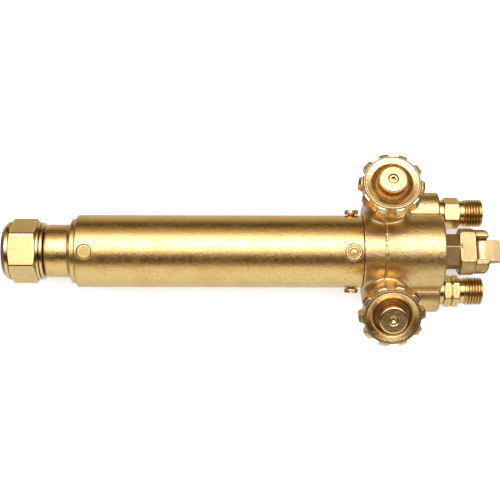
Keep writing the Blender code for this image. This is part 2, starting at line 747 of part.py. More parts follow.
def lobe_share(angle):
    """How far out the knob's rim is at this angle, from 0 in a valley to 1 on a lobe."""
    wave = math.cos(KNOB_LOBES * angle)
    return min(1.0, max(0.0, 0.5 + 1.3 * wave))


def knob_outline(share):
    """(height, radius) pairs round one half-section of the knob, from its spindle hole outwards."""
    rim = KNOB_VALLEY_RADIUS + (KNOB_LOBE_RADIUS - KNOB_VALLEY_RADIUS) * share
    hole = SPINDLE_END_RADIUS + FIT_GAP
    floor = KNOB_FACE - KNOB_DISH_DEPTH
    web = KNOB_BASE + KNOB_CAVITY_DEPTH
    return [
        (web, hole),
        (web, KNOB_CAVITY_RADIUS),
        (KNOB_BASE, KNOB_CAVITY_RADIUS),
        (KNOB_BASE, rim - KNOB_EDGE),
        (KNOB_BASE + KNOB_EDGE, rim),
        (KNOB_FACE - KNOB_EDGE, rim),
        (KNOB_FACE, rim - KNOB_EDGE),
        (KNOB_FACE, KNOB_DISH_RADIUS),
        (floor + KNOB_EDGE, KNOB_DISH_FLOOR_RADIUS),
        (floor, KNOB_BOSS_RADIUS),
        (KNOB_TOP - KNOB_EDGE, KNOB_BOSS_RADIUS),
        (KNOB_TOP, KNOB_BOSS_RADIUS - KNOB_EDGE),
        (KNOB_TOP, hole),
    ]


def knob(name, side, finish, frame, parent):
    """A dished hand knob with a lobed rim, its half-section carried round the spindle."""
    bm = bmesh.new()
    steps = KNOB_LOBES * POINTS_PER_LOBE
    rings = []
    for i in range(steps):
        angle = math.tau * i / steps
        outline = knob_outline(lobe_share(angle))
        turn = angle + side * KNOB_PHASE
        rings.append([bm.verts.new((r * math.cos(turn), r * math.sin(turn), z)) for z, r in outline])
    for ring, following in zip(rings, rings[1:] + rings[:1]):
        for k in range(len(ring)):
            bm.faces.new((ring[k - 1], ring[k], following[k], following[k - 1]))
    return add_object(name, bm, frame, finish, parent)


def thread_outline(start):
    """(height, radius) pairs over the nipple's thread, as V grooves between crests."""
    root = NIPPLE_THREAD_RADIUS - NIPPLE_THREAD_DEPTH
    points = []
    for i in range(NIPPLE_THREADS):
        foot = start + i * NIPPLE_THREAD_PITCH
        points += [(foot, root), (foot + NIPPLE_THREAD_PITCH * 0.45, NIPPLE_THREAD_RADIUS)]
        points += [(foot + NIPPLE_THREAD_PITCH * 0.55, NIPPLE_THREAD_RADIUS)]
    return points + [(start + NIPPLE_THREADS * NIPPLE_THREAD_PITCH, root)]


def hose_nipple(name, side, finish):
    """Shank, neck, hexagon, relief and thread, with the hose seat in its end. A hexagon with notched
    corners marks the fuel side's left-hand thread."""
    hex_start = FIT_GAP + NIPPLE_NECK_LENGTH
    hex_end = hex_start + NIPPLE_HEX_LENGTH
    thread = thread_outline(hex_end + NIPPLE_RELIEF_LENGTH)
    end = thread[-1][0] + FIT_GAP
    root = thread[0][1]
    outside = [
        (-NIPPLE_SHANK_LENGTH, 0),
        (-NIPPLE_SHANK_LENGTH, NIPPLE_SHANK_RADIUS),
        (FIT_GAP, NIPPLE_SHANK_RADIUS),
        (FIT_GAP, NIPPLE_NECK_RADIUS),
        (hex_end - JOINT_OVERLAP, NIPPLE_NECK_RADIUS),
        (hex_end - JOINT_OVERLAP, NIPPLE_RELIEF_RADIUS),
        (hex_end + NIPPLE_RELIEF_LENGTH - OVERCUT / 4, NIPPLE_RELIEF_RADIUS),
        *thread,
        (end, root),
        (end, 0),
    ]
    bore = [
        (-NIPPLE_SHANK_LENGTH - OVERCUT, 0),
        (-NIPPLE_SHANK_LENGTH - OVERCUT, NIPPLE_BORE_RADIUS),
        (end - NIPPLE_SEAT_DEPTH, NIPPLE_BORE_RADIUS),
        (end - NIPPLE_SEAT_DEPTH, NIPPLE_SEAT_RADIUS),
        (end + OVERCUT, NIPPLE_SEAT_RADIUS),
        (end + OVERCUT, 0),
    ]
    frame = along(WING_REAR, side * INLET_OFFSET, -INLET_DROP)
    nipple = hex_turning(
        name + "_hose_nipple",
        outside,
        NIPPLE_ACROSS_FLATS,
        hex_start,
        hex_end,
        HEX_CHAMFER,
        bore,
        frame,
        finish,
        turn=math.pi / 2,
        segments=24,
    )
    if name == "fuel":
        middle = (hex_start + hex_end) / 2
        corner = NIPPLE_ACROSS_FLATS / math.sqrt(3)
        notch = [
            (middle, NIPPLE_ACROSS_FLATS / 2 + FUEL_NOTCH_LAND),
            (middle - FUEL_NOTCH_WIDTH, corner + OVERCUT),
            (middle + FUEL_NOTCH_WIDTH, corner + OVERCUT),
        ]
        combine(nipple, "DIFFERENCE", turned("fuel_hexagon_notch", notch, frame, segments=24))
    return nipple


def swivel_stud(finish):
    """Hexagon stud with a flange and a forked end."""
    hex_end = FIT_GAP + SWIVEL_HEX_LENGTH
    flare = SWIVEL_ACROSS_FLATS / math.sqrt(3) + JOINT_OVERLAP
    jaw_end = FLANGE_REAR + JAW_LENGTH
    outside = [
        (-SWIVEL_SHANK_LENGTH, 0),
        (-SWIVEL_SHANK_LENGTH, SWIVEL_SHANK_RADIUS),
        (hex_end - JOINT_OVERLAP, SWIVEL_SHANK_RADIUS),
        (hex_end - JOINT_OVERLAP, flare),
        (FLANGE_FRONT, FLANGE_RADIUS - FLANGE_EDGE),
        (FLANGE_FRONT + FLANGE_EDGE, FLANGE_RADIUS),
        (FLANGE_REAR - FLANGE_EDGE, FLANGE_RADIUS),
        (FLANGE_REAR, JAW_RADIUS),
        (jaw_end - JAW_END_EDGE, JAW_RADIUS),
        (jaw_end - JAW_END_EDGE * 0.3, JAW_RADIUS - JAW_END_EDGE * 0.3),
        (jaw_end, JAW_RADIUS - JAW_END_EDGE),
        (jaw_end, 0),
    ]
    frame = swivel_frame(BODY_REAR)
    stud = turned("swivel_stud", outside, frame, finish, MEDIUM)
    combine(stud, "UNION", hexagon("swivel_hexagon", SWIVEL_ACROSS_FLATS, FIT_GAP, hex_end, frame))
    wide = 2 * FLANGE_RADIUS
    slot = TAB_WIDTH / 2 + TAB_SIDE_GAP
    cuts = [block("swivel_slot", (-wide, -slot, FLANGE_REAR), (wide, slot, jaw_end + OVERCUT), frame)]
    for sign, side in ((1, "front"), (-1, "back")):
        flat = sorted((sign * FLANGE_FLAT, sign * wide))
        jaw = sorted((sign * JAW_HALF_DEPTH, sign * wide))
        name = "swivel_" + side
        far = jaw_end + OVERCUT
        cuts.append(block(name + "_flat", (flat[0], -wide, hex_end), (flat[1], wide, far), frame))
        cuts.append(block(name + "_jaw", (jaw[0], -wide, FLANGE_REAR), (jaw[1], wide, far), frame))
    across = Matrix.Rotation(-math.pi / 2, 4, "X")
    pin_frame = swivel_frame(PIN_AT) @ across
    cuts.append(rod("swivel_pin_hole", -wide, wide, PIN_RADIUS + FIT_GAP, pin_frame, segments=16))
    return combine(stud, "DIFFERENCE", *cuts)


def swivel_pin(finish):
    frame = swivel_frame(PIN_AT) @ Matrix.Rotation(-math.pi / 2, 4, "X")
    half = JAW_RADIUS - PIN_SUNK
    return rod("swivel_pin", -half, half, PIN_RADIUS, frame, finish, segments=16)


def swivel_tab(finish):
    """A flat tab with a round root that turns on the pin and a slightly bevelled tip."""
    half = TAB_THICKNESS / 2
    tip = half - TAB_BEVEL
    steps = 8
    arc = [math.pi * i / steps for i in range(steps + 1)]
    profile = [(-half * math.cos(a), -half * math.sin(a)) for a in arc]
    profile += [(half, TAB_REACH - TAB_BEVEL_LENGTH), (tip, TAB_REACH), (-tip, TAB_REACH)]
    profile += [(-half, TAB_REACH - TAB_BEVEL_LENGTH)]
    bm = bmesh.new()
    side = [bm.verts.new((x, -TAB_WIDTH / 2, z)) for x, z in profile]
    face = bm.faces.new(side)
    grown = bmesh.ops.extrude_face_region(bm, geom=[face])
    moved = [v for v in grown["geom"] if isinstance(v, bmesh.types.BMVert)]
    bmesh.ops.translate(bm, verts=moved, vec=(0, TAB_WIDTH, 0))
    frame = swivel_frame(PIN_AT)
    tab = add_object("swivel_tab", bm, frame, finish)
    hole_frame = frame @ Matrix.Rotation(-math.pi / 2, 4, "X")
    hole = rod("tab_hole", -TAB_WIDTH, TAB_WIDTH, PIN_RADIUS + FIT_GAP / 2, hole_frame, segments=16)
    return combine(tab, "DIFFERENCE", hole)


def main():
    clear_scene()
    finishes = {
        "barrel": material("satin_brass", (0.80, 0.58, 0.24), 0.38),
        "forged": material("forged_brass", (0.78, 0.56, 0.24), 0.42),
        "machined": material("machined_brass", (0.84, 0.62, 0.28), 0.25),
        "knob": material("knob_brass", (0.82, 0.60, 0.26), 0.32),
        "packing": material("packing_white", (0.85, 0.85, 0.82), 0.6, 0.0),
        "steel": material("ball_steel", (0.62, 0.62, 0.64), 0.2),
    }
    coupling_nut(finishes["machined"])
    retaining_ring(finishes["machined"])
    head_connector(finishes["machined"])
    gas_tubes(finishes["machined"])
    barrel(finishes["barrel"])
    barrel_fasteners(finishes["machined"])
    rear_body(finishes["forged"])
    for name, side in SIDES.items():
        valve(name, side, finishes)
        hose_nipple(name, side, finishes["machined"])
    swivel_stud(finishes["forged"])
    swivel_pin(finishes["machined"])
    swivel_tab(finishes["forged"])


main()
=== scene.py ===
"""Looks of a two-valve brass torch handle, lying on its back on a pale floor.

Turned pieces are an outline carried round an axis, forged pieces are level surfaces of a distance
that is rounded where shapes meet, and the barrel is a tube with drilled holes. All sizes are metres.
"""

import json
import logging
import math
from collections.abc import Callable, Sequence
from dataclasses import dataclass
from enum import Enum
from itertools import product

import bpy
import numpy as np
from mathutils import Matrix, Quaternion, Vector


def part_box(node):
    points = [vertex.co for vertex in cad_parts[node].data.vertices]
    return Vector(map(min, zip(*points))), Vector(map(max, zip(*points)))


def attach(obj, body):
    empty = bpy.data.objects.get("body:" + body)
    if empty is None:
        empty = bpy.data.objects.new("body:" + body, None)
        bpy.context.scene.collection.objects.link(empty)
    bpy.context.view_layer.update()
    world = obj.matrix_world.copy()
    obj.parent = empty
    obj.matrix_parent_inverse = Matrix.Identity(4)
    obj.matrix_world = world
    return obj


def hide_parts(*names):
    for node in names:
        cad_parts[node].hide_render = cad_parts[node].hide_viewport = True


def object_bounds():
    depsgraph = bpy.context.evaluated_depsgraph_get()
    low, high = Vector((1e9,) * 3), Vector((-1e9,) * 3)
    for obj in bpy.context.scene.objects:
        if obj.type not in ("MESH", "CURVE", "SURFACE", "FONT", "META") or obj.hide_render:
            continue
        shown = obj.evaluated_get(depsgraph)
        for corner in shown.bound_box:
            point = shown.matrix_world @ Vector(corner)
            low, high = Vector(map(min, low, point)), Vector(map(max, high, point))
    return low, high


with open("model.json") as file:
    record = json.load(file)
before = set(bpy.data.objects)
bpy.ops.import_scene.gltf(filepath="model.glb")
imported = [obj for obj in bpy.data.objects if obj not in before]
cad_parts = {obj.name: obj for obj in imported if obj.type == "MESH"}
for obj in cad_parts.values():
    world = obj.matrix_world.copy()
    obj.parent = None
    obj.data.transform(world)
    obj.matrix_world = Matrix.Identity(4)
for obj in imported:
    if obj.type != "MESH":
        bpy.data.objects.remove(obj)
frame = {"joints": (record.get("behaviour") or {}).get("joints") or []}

CAD_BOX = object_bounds()
LOG = logging.getLogger("torch")
MM = 0.001
UP = np.array((0.0, 0.0, 1.0))
ALONG = np.array((1.0, 0.0, 0.0))
GAP = 0.3 * MM  # left between two pieces that seat on each other
OVER = 1.0 * MM  # how far a cutter or a joined shape runs past the face that it meets
FEEL = 1.0 * MM  # how far from a surface its corners and edges are felt
SHARP = math.radians(50)  # an edge that bends more than this is shaded sharp
ARC_STEP = math.radians(7)  # one step of a rounded corner
ARC_ROOM = 0.45  # the share of a stretch that the arc at either end may take
HALF_SIDE = math.radians(30)  # half of the angle that a hexagon's side spans
QUARTER = math.pi / 2

Array = np.ndarray
Reach = Callable[[Array, Array, Array], tuple[Array, Array]]


# ---------------------------------------------------------------- places and joints


@dataclass(frozen=True)
class Place:
    """A local frame, whose third axis is the one that a piece is turned about."""

    origin: Array
    across: Array
    axis: Array

    @property
    def rows(self) -> Array:
        """The frame's three axes as rows."""
        return np.stack([self.across, np.cross(self.axis, self.across), self.axis])

    def put(self, points: Array) -> Array:
        """Points of this frame, in the world."""
        return self.origin + points @ self.rows

    def local(self, points: Array) -> Array:
        """Points of the world, in this frame."""
        return (points - self.origin) @ self.rows.T

    def moved(self, across: float = 0.0, beside: float = 0.0, along: float = 0.0) -> "Place":
        """The same frame at another origin, given in its own axes."""
        return Place(self.put(np.array((across, beside, along))), self.across, self.axis)

    def off_axis(self, points: Array) -> Array:
        """How far points of the world are from the third axis."""
        return np.hypot(*np.moveaxis(self.local(points)[..., :2], -1, 0))


def joint(name: str) -> dict:
    """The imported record's joint of that name.

    Args:
        name: The joint's name in the record.

    Returns:
        Its entry, with pos_m and axis.
    """
    return next(entry for entry in frame["joints"] if entry["name"] == name)


def torch_line() -> Place:
    """The torch's own axis: origin in the middle of the nut's front face, third axis towards the hoses.

    Returns:
        A frame whose first axis points to the oxygen side and whose second points up.
    """
    height = joint("coupling_nut_spin")["pos_m"][2]
    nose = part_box("coupling_nut")[0].x
    return Place(np.array((nose, 0.0, height)), np.array((0.0, 1.0, 0.0)), ALONG)


def station(node_name: str, end: int) -> float:
    """How far along the torch a CAD node starts (end 0) or stops (end 1), from the nut's front face."""
    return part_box(node_name)[end].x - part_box("coupling_nut")[0].x


class Gas(Enum):
    """The two gases, with the side of the torch that each is on."""

    OXYGEN = 1
    FUEL = -1

    @property
    def title(self) -> str:
        """The gas as it stands in the names of nodes, bodies and joints."""
        return self.name.lower()

    def valve(self) -> Place:
        """A frame at the foot of its valve's spindle, whose third axis runs up the spindle."""
        turn = joint(self.title + "_valve_turn")
        return Place(np.array(turn["pos_m"]), ALONG, np.array(turn["axis"]))


# ---------------------------------------------------------------- meshes


def mesh_object(
    name: str, points: Array, faces: Array, finish: bpy.types.Material, wear: Array | None = None
) -> bpy.types.Object:
    """Makes a smooth-shaded object at the world's origin from whole arrays.

    A quad that touches a pole twice becomes a triangle, and points that no face uses are dropped.

    Args:
        name: The piece's name.
        points: Its points, one row each.
        faces: Four point numbers for each face, in order round it as seen from outside.
        finish: Its material.
        wear: For each point, from -1 in a corner, darkened by the finish as dirt and painted shade,
        to 1 on an edge that is rubbed.

    Returns:
        The new object.
    """
    flat = (faces[:, 0] == faces[:, 1]) | (faces[:, 2] == faces[:, 3])
    flat |= (faces[:, 1] == faces[:, 2]) | (faces[:, 3] == faces[:, 0])
    used, renumbered = np.unique(faces, return_inverse=True)
    renumbered = renumbered.reshape(faces.shape)
    corners = renumbered[~flat].tolist()
    corners += [list(dict.fromkeys(row)) for row in renumbered[flat].tolist()]
    mesh = bpy.data.meshes.new(name)
    mesh.from_pydata(points[used], [], corners)
    mesh.shade_smooth()
    mesh.set_sharp_from_angle(angle=SHARP)
    mesh.materials.append(finish)
    # this attribute carries dirt and painted shade for corners, and rubbed wear for edges
    if wear is not None:
        values = wear.ravel()[used].astype(np.float32)
        mesh.attributes.new("wear", "FLOAT", "POINT").data.foreach_set("value", values)
    piece = bpy.data.objects.new(name, mesh)
    bpy.context.scene.collection.objects.link(piece)
    LOG.info("%s: %d faces", name, len(corners))
    return piece


def lattice_faces(numbers: Array, wrap_rows: bool) -> Array:
    """The quads of a grid of point numbers whose columns close into a ring.

    Args:
        numbers: Point numbers, a row for each step along the outline.
        wrap_rows: Whether the last row joins the first.

    Returns:
        Four point numbers for each quad.
    """
    after = np.roll(numbers, -1, axis=0) if wrap_rows else numbers[1:]
    here = numbers if wrap_rows else numbers[:-1]
    quads = [here, np.roll(here, -1, axis=1), np.roll(after, -1, axis=1), after]
    return np.stack(quads, axis=-1).reshape(-1, 4)


def rounded(corners: Sequence[tuple], support: float = 0.12 * MM, stride: float = 4 * MM) -> Array:
    """An outline whose corners are arcs.

    The arc of a corner of radius r starts r * tan(half its turn) before the corner and ends as far
    after it. Between them it is the parabola that touches both stretches, close to their circle.
    Each stretch gets a point close to either end, which keeps its shading flat, and points no
    further apart than the stride.

    Args:
        corners: (height, radius) or (height, radius, corner radius) for each corner.
        support: Distance of the points that hold a stretch flat.
        stride: Greatest distance between two points of a stretch.

    Returns:
        The outline's (height, radius) rows.
    """
    spots = np.array([corner[:2] for corner in corners], float)
    bends = [corner[2] if len(corner) > 2 else 0.0 for corner in corners]
    path: list[Array] = []
    for number, (spot, bend) in enumerate(zip(spots, bends)):
        before, after = spots[max(number - 1, 0)], spots[min(number + 1, len(spots) - 1)]
        into, out = spot - before, after - spot
        reach = min(np.hypot(*into), np.hypot(*out)) * ARC_ROOM
        if bend <= 0 or reach <= 0:
            path.append(spot[None])
            continue
        into, out = into / np.hypot(*into), out / np.hypot(*out)
        half = math.acos(float(np.clip(into @ out, -1, 1))) / 2
        trim = min(bend * math.tan(half), reach)
        share = np.linspace(0, 1, 2 + int(half / ARC_STEP))[:, None]
        start, end = spot - into * trim, spot + out * trim
        path.append((1 - share) ** 2 * start + 2 * share * (1 - share) * spot + share**2 * end)
    rough = np.concatenate(path)
    kept = [rough[:1]]
    for start, end in zip(rough, rough[1:]):
        length = float(np.hypot(*(end - start)))
        if length > 3 * support:
            inner = np.linspace(support, length - support, 2 + int(length / stride))
            kept.append(start + (end - start) * (inner / length)[:, None])
        kept.append(end[None])
    return np.concatenate(kept)


def outline_bend(outline: Array, window: float = 0.7 * MM) -> Array:
    """How far an outline bends within a window, from -1 in a tight inner corner to 1 on an edge.

    It is the distance from each point to the middle of the two points a window before and after it,
    across the outline, in shares of a third of the window.

    Args:
        outline: (height, radius) rows.
        window: The distance along the outline that is looked at each way.

    Returns:
        One value for each row.
    """
    steps = np.hypot(*np.diff(outline, axis=0).T)
    way = np.concatenate([[0.0], np.cumsum(steps)])
    sample = [[np.interp(way + shift, way, outline[:, k]) for k in (0, 1)] for shift in (-window, window)]
    before, after = np.array(sample)
    bend = (before + after) / 2 - outline.T
    heading = after - before
    size = np.maximum(np.hypot(*heading), window / 10)
    across = (bend[1] * heading[0] - bend[0] * heading[1]) / size
    return np.clip(-across / (window / 3), -1, 1)


def even_angles(count: int) -> Array:
    """Angles round a whole turn, all the same step apart."""
    return np.linspace(0, math.tau, count, endpoint=False)


def turned(
    name: str,
    outline: Array,
    place: Place,
    finish: bpy.types.Material,
    angles: Array,
    reach: Reach | None = None,
    pits: float = 0.0,
    pits_from: float = -math.inf,
) -> bpy.types.Object:
    """Carries an outline round an axis: a point at height h and radius r goes to (r cos a, r sin a, h).

    Args:
        name: The piece's name.
        outline: (height, radius) rows, going up the outside. Both ends lie on the axis, or the last
            row joins the first.
        place: The frame whose third axis is the turning axis.
        finish: The piece's material.
        angles: The angle of each half section round the axis.
        reach: Changes height and radius from height, angle and radius, for flats, lobes and threads.
        pits: How deep a cut of reach counts as a full pit, darkened as dirt and painted shade, or 0
        for none.
        pits_from: The height above which that counts.

    Returns:
        The new object.
    """
    height, angle = np.meshgrid(outline[:, 0], angles, indexing="ij")
    radius = np.repeat(outline[:, 1:2], len(angles), axis=1)
    # inner corners of the outline get dirt and painted shade, outer edges get rubbed wear
    wear = np.repeat(outline_bend(outline)[:, None], len(angles), axis=1)
    if reach is not None:
        height, cut = reach(height, angle, radius)
        if pits > 0:
            # cuts of reach, such as thread grooves and hollows between lobes, get dirt and painted shade
            wear = wear - np.clip((radius - cut) / pits, 0, 1) * (height > pits_from)
        radius = cut
    points = place.put(np.stack([radius * np.cos(angle), radius * np.sin(angle), height], axis=-1))
    numbers = np.arange(height.size).reshape(height.shape)
    poles = outline[:, 1] <= 0
    numbers[poles] = numbers[poles][:, :1]
    faces = lattice_faces(numbers, wrap_rows=not poles[0])
    return mesh_object(name, points.reshape(-1, 3), faces, finish, wear)


# ---------------------------------------------------------------- solids held as distances


def soft_greater(first: Array, second: Array, width: float) -> Array:
    """The greater of two distances, rounded over a width: it adds (width - gap)^2 / 4 width."""
    if width <= 0:
        return np.maximum(first, second)
    overlap = np.maximum(width - np.abs(first - second), 0.0)
    return np.maximum(first, second) + overlap**2 / (4 * width)


@dataclass(frozen=True)
class Solid:
    """A shape held as its distance: below zero inside, above zero outside."""

    distance: Callable[[Array], Array]

    def joined(self, other: "Solid", fillet: float = 0.0) -> "Solid":
        """Both shapes, with a fillet where they meet."""
        return Solid(lambda p: -soft_greater(-self.distance(p), -other.distance(p), fillet))

    def within(self, other: "Solid", edge: float = 0.0) -> "Solid":
        """What both shapes share, with a rounded edge."""
        return Solid(lambda p: soft_greater(self.distance(p), other.distance(p), edge))

    def without(self, other: "Solid", edge: float = 0.0) -> "Solid":
        """This shape less the other, with a rounded edge."""
        return Solid(lambda p: soft_greater(self.distance(p), -other.distance(p), edge))


def half_space(place: Place, height: float, above: bool) -> Solid:
    """Everything above or below a height of a frame."""
    sign = -1.0 if above else 1.0
    return Solid(lambda p: sign * (place.local(p)[..., 2] - height))


def rod(place: Place, radius: float, low: float, high: float, edge: float = 0.0) -> Solid:
    """A cylinder between two heights: the distance from its axis less its radius, cut by two planes."""
    wall = Solid(lambda p: place.off_axis(p) - radius)
    return wall.within(half_space(place, low, True), edge).within(half_space(place, high, False), edge)


def capsule(place: Place, radius: float, high: float, edge: float) -> Solid:
    """A rod with a half ball under its foot: the distance from a line that starts at the origin."""

    def distance(points: Array) -> Array:
        """Distance from the line less the radius."""
        spot = place.local(points)
        spot[..., 2] = np.minimum(spot[..., 2], 0.0)
        return np.linalg.norm(spot, axis=-1) - radius

    return Solid(distance).within(half_space(place, high, False), edge)


def hexagon(place: Place, flats: float, low: float, high: float, edge: float = 0.0) -> Solid:
    """A hexagonal prism with a corner on the frame's first axis: the greatest of three flats' distances."""

    def distance(points: Array) -> Array:
        """Distance from the nearest flat."""
        spot = place.local(points)
        turns = HALF_SIDE + np.arange(3) * 2 * HALF_SIDE
        flat = [np.abs(spot[..., 0] * math.cos(t) + spot[..., 1] * math.sin(t)) for t in turns]
        return soft_greater(soft_greater(flat[0], flat[1], edge), flat[2], edge) - flats / 2

    above, below = half_space(place, low, True), half_space(place, high, False)
    return Solid(distance).within(above, edge).within(below, edge)


def block(place: Place, low: Sequence[float], high: Sequence[float], edge: float = 0.0) -> Solid:
    """A box between two corners of a frame, with rounded edges."""
    middle = (np.array(high) + np.array(low)) / 2
    half = (np.array(high) - np.array(low)) / 2

    def distance(points: Array) -> Array:
        """Distance from the nearest side."""
        away = np.abs(place.local(points) - middle) - half
        return soft_greater(soft_greater(away[..., 0], away[..., 1], edge), away[..., 2], edge)

    return Solid(distance)


def cell_points(solid: Solid, box: tuple[Array, Array], step: float) -> tuple[Array, Array]:
    """A rough surface where a solid's distance changes sign on a grid.

    The box is cut into cells. Each cell that the surface crosses gets one point, at the mean of the
    crossings on its twelve edges, and each crossed edge gets the quad of the four cells round it.

    Args:
        solid: The shape.
        box: Its lowest and highest corner.
        step: Size of a cell.

    Returns:
        The points, and four point numbers for each quad, in order round it as seen from outside.
    """
    sides = [np.arange(low - 2.4 * step, high + 2.6 * step, step) for low, high in zip(*box)]
    spots = np.stack(np.meshgrid(*sides, indexing="ij"), axis=-1)
    value = solid.distance(spots)
    cells = tuple(size - 1 for size in value.shape)
    total, count = np.zeros((*cells, 3)), np.zeros(cells)
    crossed = []
    for axis in range(3):
        here = np.take(value, range(cells[axis]), axis)
        there = np.take(value, range(1, cells[axis] + 1), axis)
        cross = (here < 0) != (there < 0)
        spot = np.take(spots, range(cells[axis]), axis)
        spot[..., axis] += step * here / np.where(cross, here - there, 1.0)
        others = [other for other in range(3) if other != axis]
        for pair in product((0, 1), repeat=2):
            window = [slice(None)] * 3
            for other, shift in zip(others, pair):
                window[other] = slice(shift, shift + cells[other])
            total += np.where(cross[tuple(window)][..., None], spot[tuple(window)], 0.0)
            count += cross[tuple(window)]
        crossed.append((cross, here < 0))
    active = count > 0
    numbers = np.zeros(cells, int)
    numbers[active] = np.arange(active.sum())
    faces = []
    for axis, (cross, inward) in enumerate(crossed):
        second, third = (axis + 1) % 3, (axis + 2) % 3
        edge = np.argwhere(cross)
        corners = []
        for back_second, back_third in ((1, 1), (0, 1), (0, 0), (1, 0)):
            cell = edge.copy()
            cell[:, second] -= back_second
            cell[:, third] -= back_third
            corners.append(numbers[tuple(cell.T)])
        quads = np.stack(corners, axis=-1)
        outward = inward[tuple(edge.T)]
        faces.append(np.where(outward[:, None], quads, quads[:, ::-1]))
    return total[active] / count[active][:, None], np.concatenate(faces)


def level_surface(
    name: str, solid: Solid, box: tuple[Array, Array], step: float, finish: bpy.types.Material
) -> bpy.types.Object:
    """The surface where a solid's distance is zero.

    It starts from the rough surface of cell_points. Each point then slides four times down the
    distance's slope, by the distance over the slope's square, until it lies on the surface. Its
    wear compares the distance a little way out and in with what it is at a flat place, so that
    corners get dirt and painted shade and edges get rubbed wear.

    Args:
        name: The piece's name.
        solid: The shape.
        box: Its lowest and highest corner.
        step: Size of a cell.
        finish: The piece's material.

    Returns:
        The new object.
    """
    points, faces = cell_points(solid, box, step)
    probe = step * 0.05
    for _ in range(4):
        slopes = [solid.distance(points + side) - solid.distance(points - side) for side in np.eye(3) * probe]
        slope = np.stack(slopes, axis=-1) / (2 * probe)
        steep = np.maximum((slope**2).sum(-1), 0.05)
        slide = np.clip(solid.distance(points) / steep, -step / 2, step / 2)
        points = points - slide[:, None] * slope
    out = slope / np.sqrt(steep)[:, None]
    corner = 1 - solid.distance(points + out * FEEL) / FEEL
    edge = 1 + solid.distance(points - out * FEEL) / FEEL
    # corners darken as dirt and painted shade, edges lighten as rubbed wear
    wear = np.clip(edge * 1.5, 0, 1) - np.clip(corner * 1.5, 0, 1)
    return mesh_object(name, points, faces, finish, wear)


def node_box(node_name: str) -> tuple[Array, Array]:
    """The lowest and highest corner of a CAD node."""
    low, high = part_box(node_name)
    return np.array(low), np.array(high)


# ---------------------------------------------------------------- finishes


class Shade:
    """A socket of a shader tree that can be used in sums and products."""

    def __init__(self, tree: bpy.types.NodeTree, socket: bpy.types.NodeSocket) -> None:
        """Keeps the tree that new nodes go into, and the socket."""
        self.tree, self.socket = tree, socket

    def sum_node(self, operation: str, first: "Shade | float", second: "Shade | float") -> "Shade":
        """Adds a Math node."""
        return node(self.tree, "ShaderNodeMath", {"operation": operation}, {0: first, 1: second})

    def __add__(self, other: "Shade | float") -> "Shade":
        """Sum."""
        return self.sum_node("ADD", self, other)

    def __sub__(self, other: "Shade | float") -> "Shade":
        """Difference."""
        return self.sum_node("SUBTRACT", self, other)

    def __mul__(self, other: "Shade | float") -> "Shade":
        """Product."""
        return self.sum_node("MULTIPLY", self, other)

    def __truediv__(self, other: "Shade | float") -> "Shade":
        """Ratio."""
        return self.sum_node("DIVIDE", self, other)

    __radd__ = __add__
    __rmul__ = __mul__

    def __rsub__(self, other: float) -> "Shade":
        """Difference from a number."""
        return self.sum_node("SUBTRACT", other, self)

    def between(self, low: float, high: float) -> "Shade":
        """Runs smoothly from 0 at the low value to 1 at the high one."""
        settings = {"interpolation_type": "SMOOTHSTEP"}
        values = {"Value": self, "From Min": low, "From Max": high}
        return node(self.tree, "ShaderNodeMapRange", settings, values)


def node(
    tree: bpy.types.NodeTree,
    kind: str,
    settings: dict | None = None,
    values: dict | None = None,
    output: int | str = 0,
) -> Shade:
    """Adds a node, sets its settings first, then its sockets.

    Args:
        tree: The tree that it goes into.
        kind: The node's type.
        settings: Its own settings, such as an operation; "stops" holds a ramp's (place, colour) pairs.
        values: Numbers, colours or links for its sockets.
        output: The output that is returned.

    Returns:
        The chosen output.
    """
    made = tree.nodes.new(kind)
    for key, value in (settings or {}).items():
        if key == "stops":
            elements = made.color_ramp.elements
            for number, (place, colour) in enumerate(value):
                element = elements[number] if number < 2 else elements.new(place)
                element.position, element.color = place, (*colour, 1.0)
        else:
            setattr(made, key, value)
    for key, value in (values or {}).items():
        if isinstance(value, Shade):
            tree.links.new(value.socket, made.inputs[key])
        else:
            made.inputs[key].default_value = value
    return Shade(tree, made.outputs[output])


def blended(tree: bpy.types.NodeTree, share: Shade, first: Shade | tuple, second: Shade | tuple) -> Shade:
    """A colour that goes from the first to the second as the share goes from 0 to 1."""
    colours = [c if isinstance(c, Shade) else (*c, 1.0) for c in (first, second)]
    return node(tree, "ShaderNodeMix", {"data_type": "RGBA"}, {0: share, 6: colours[0], 7: colours[1]}, 2)


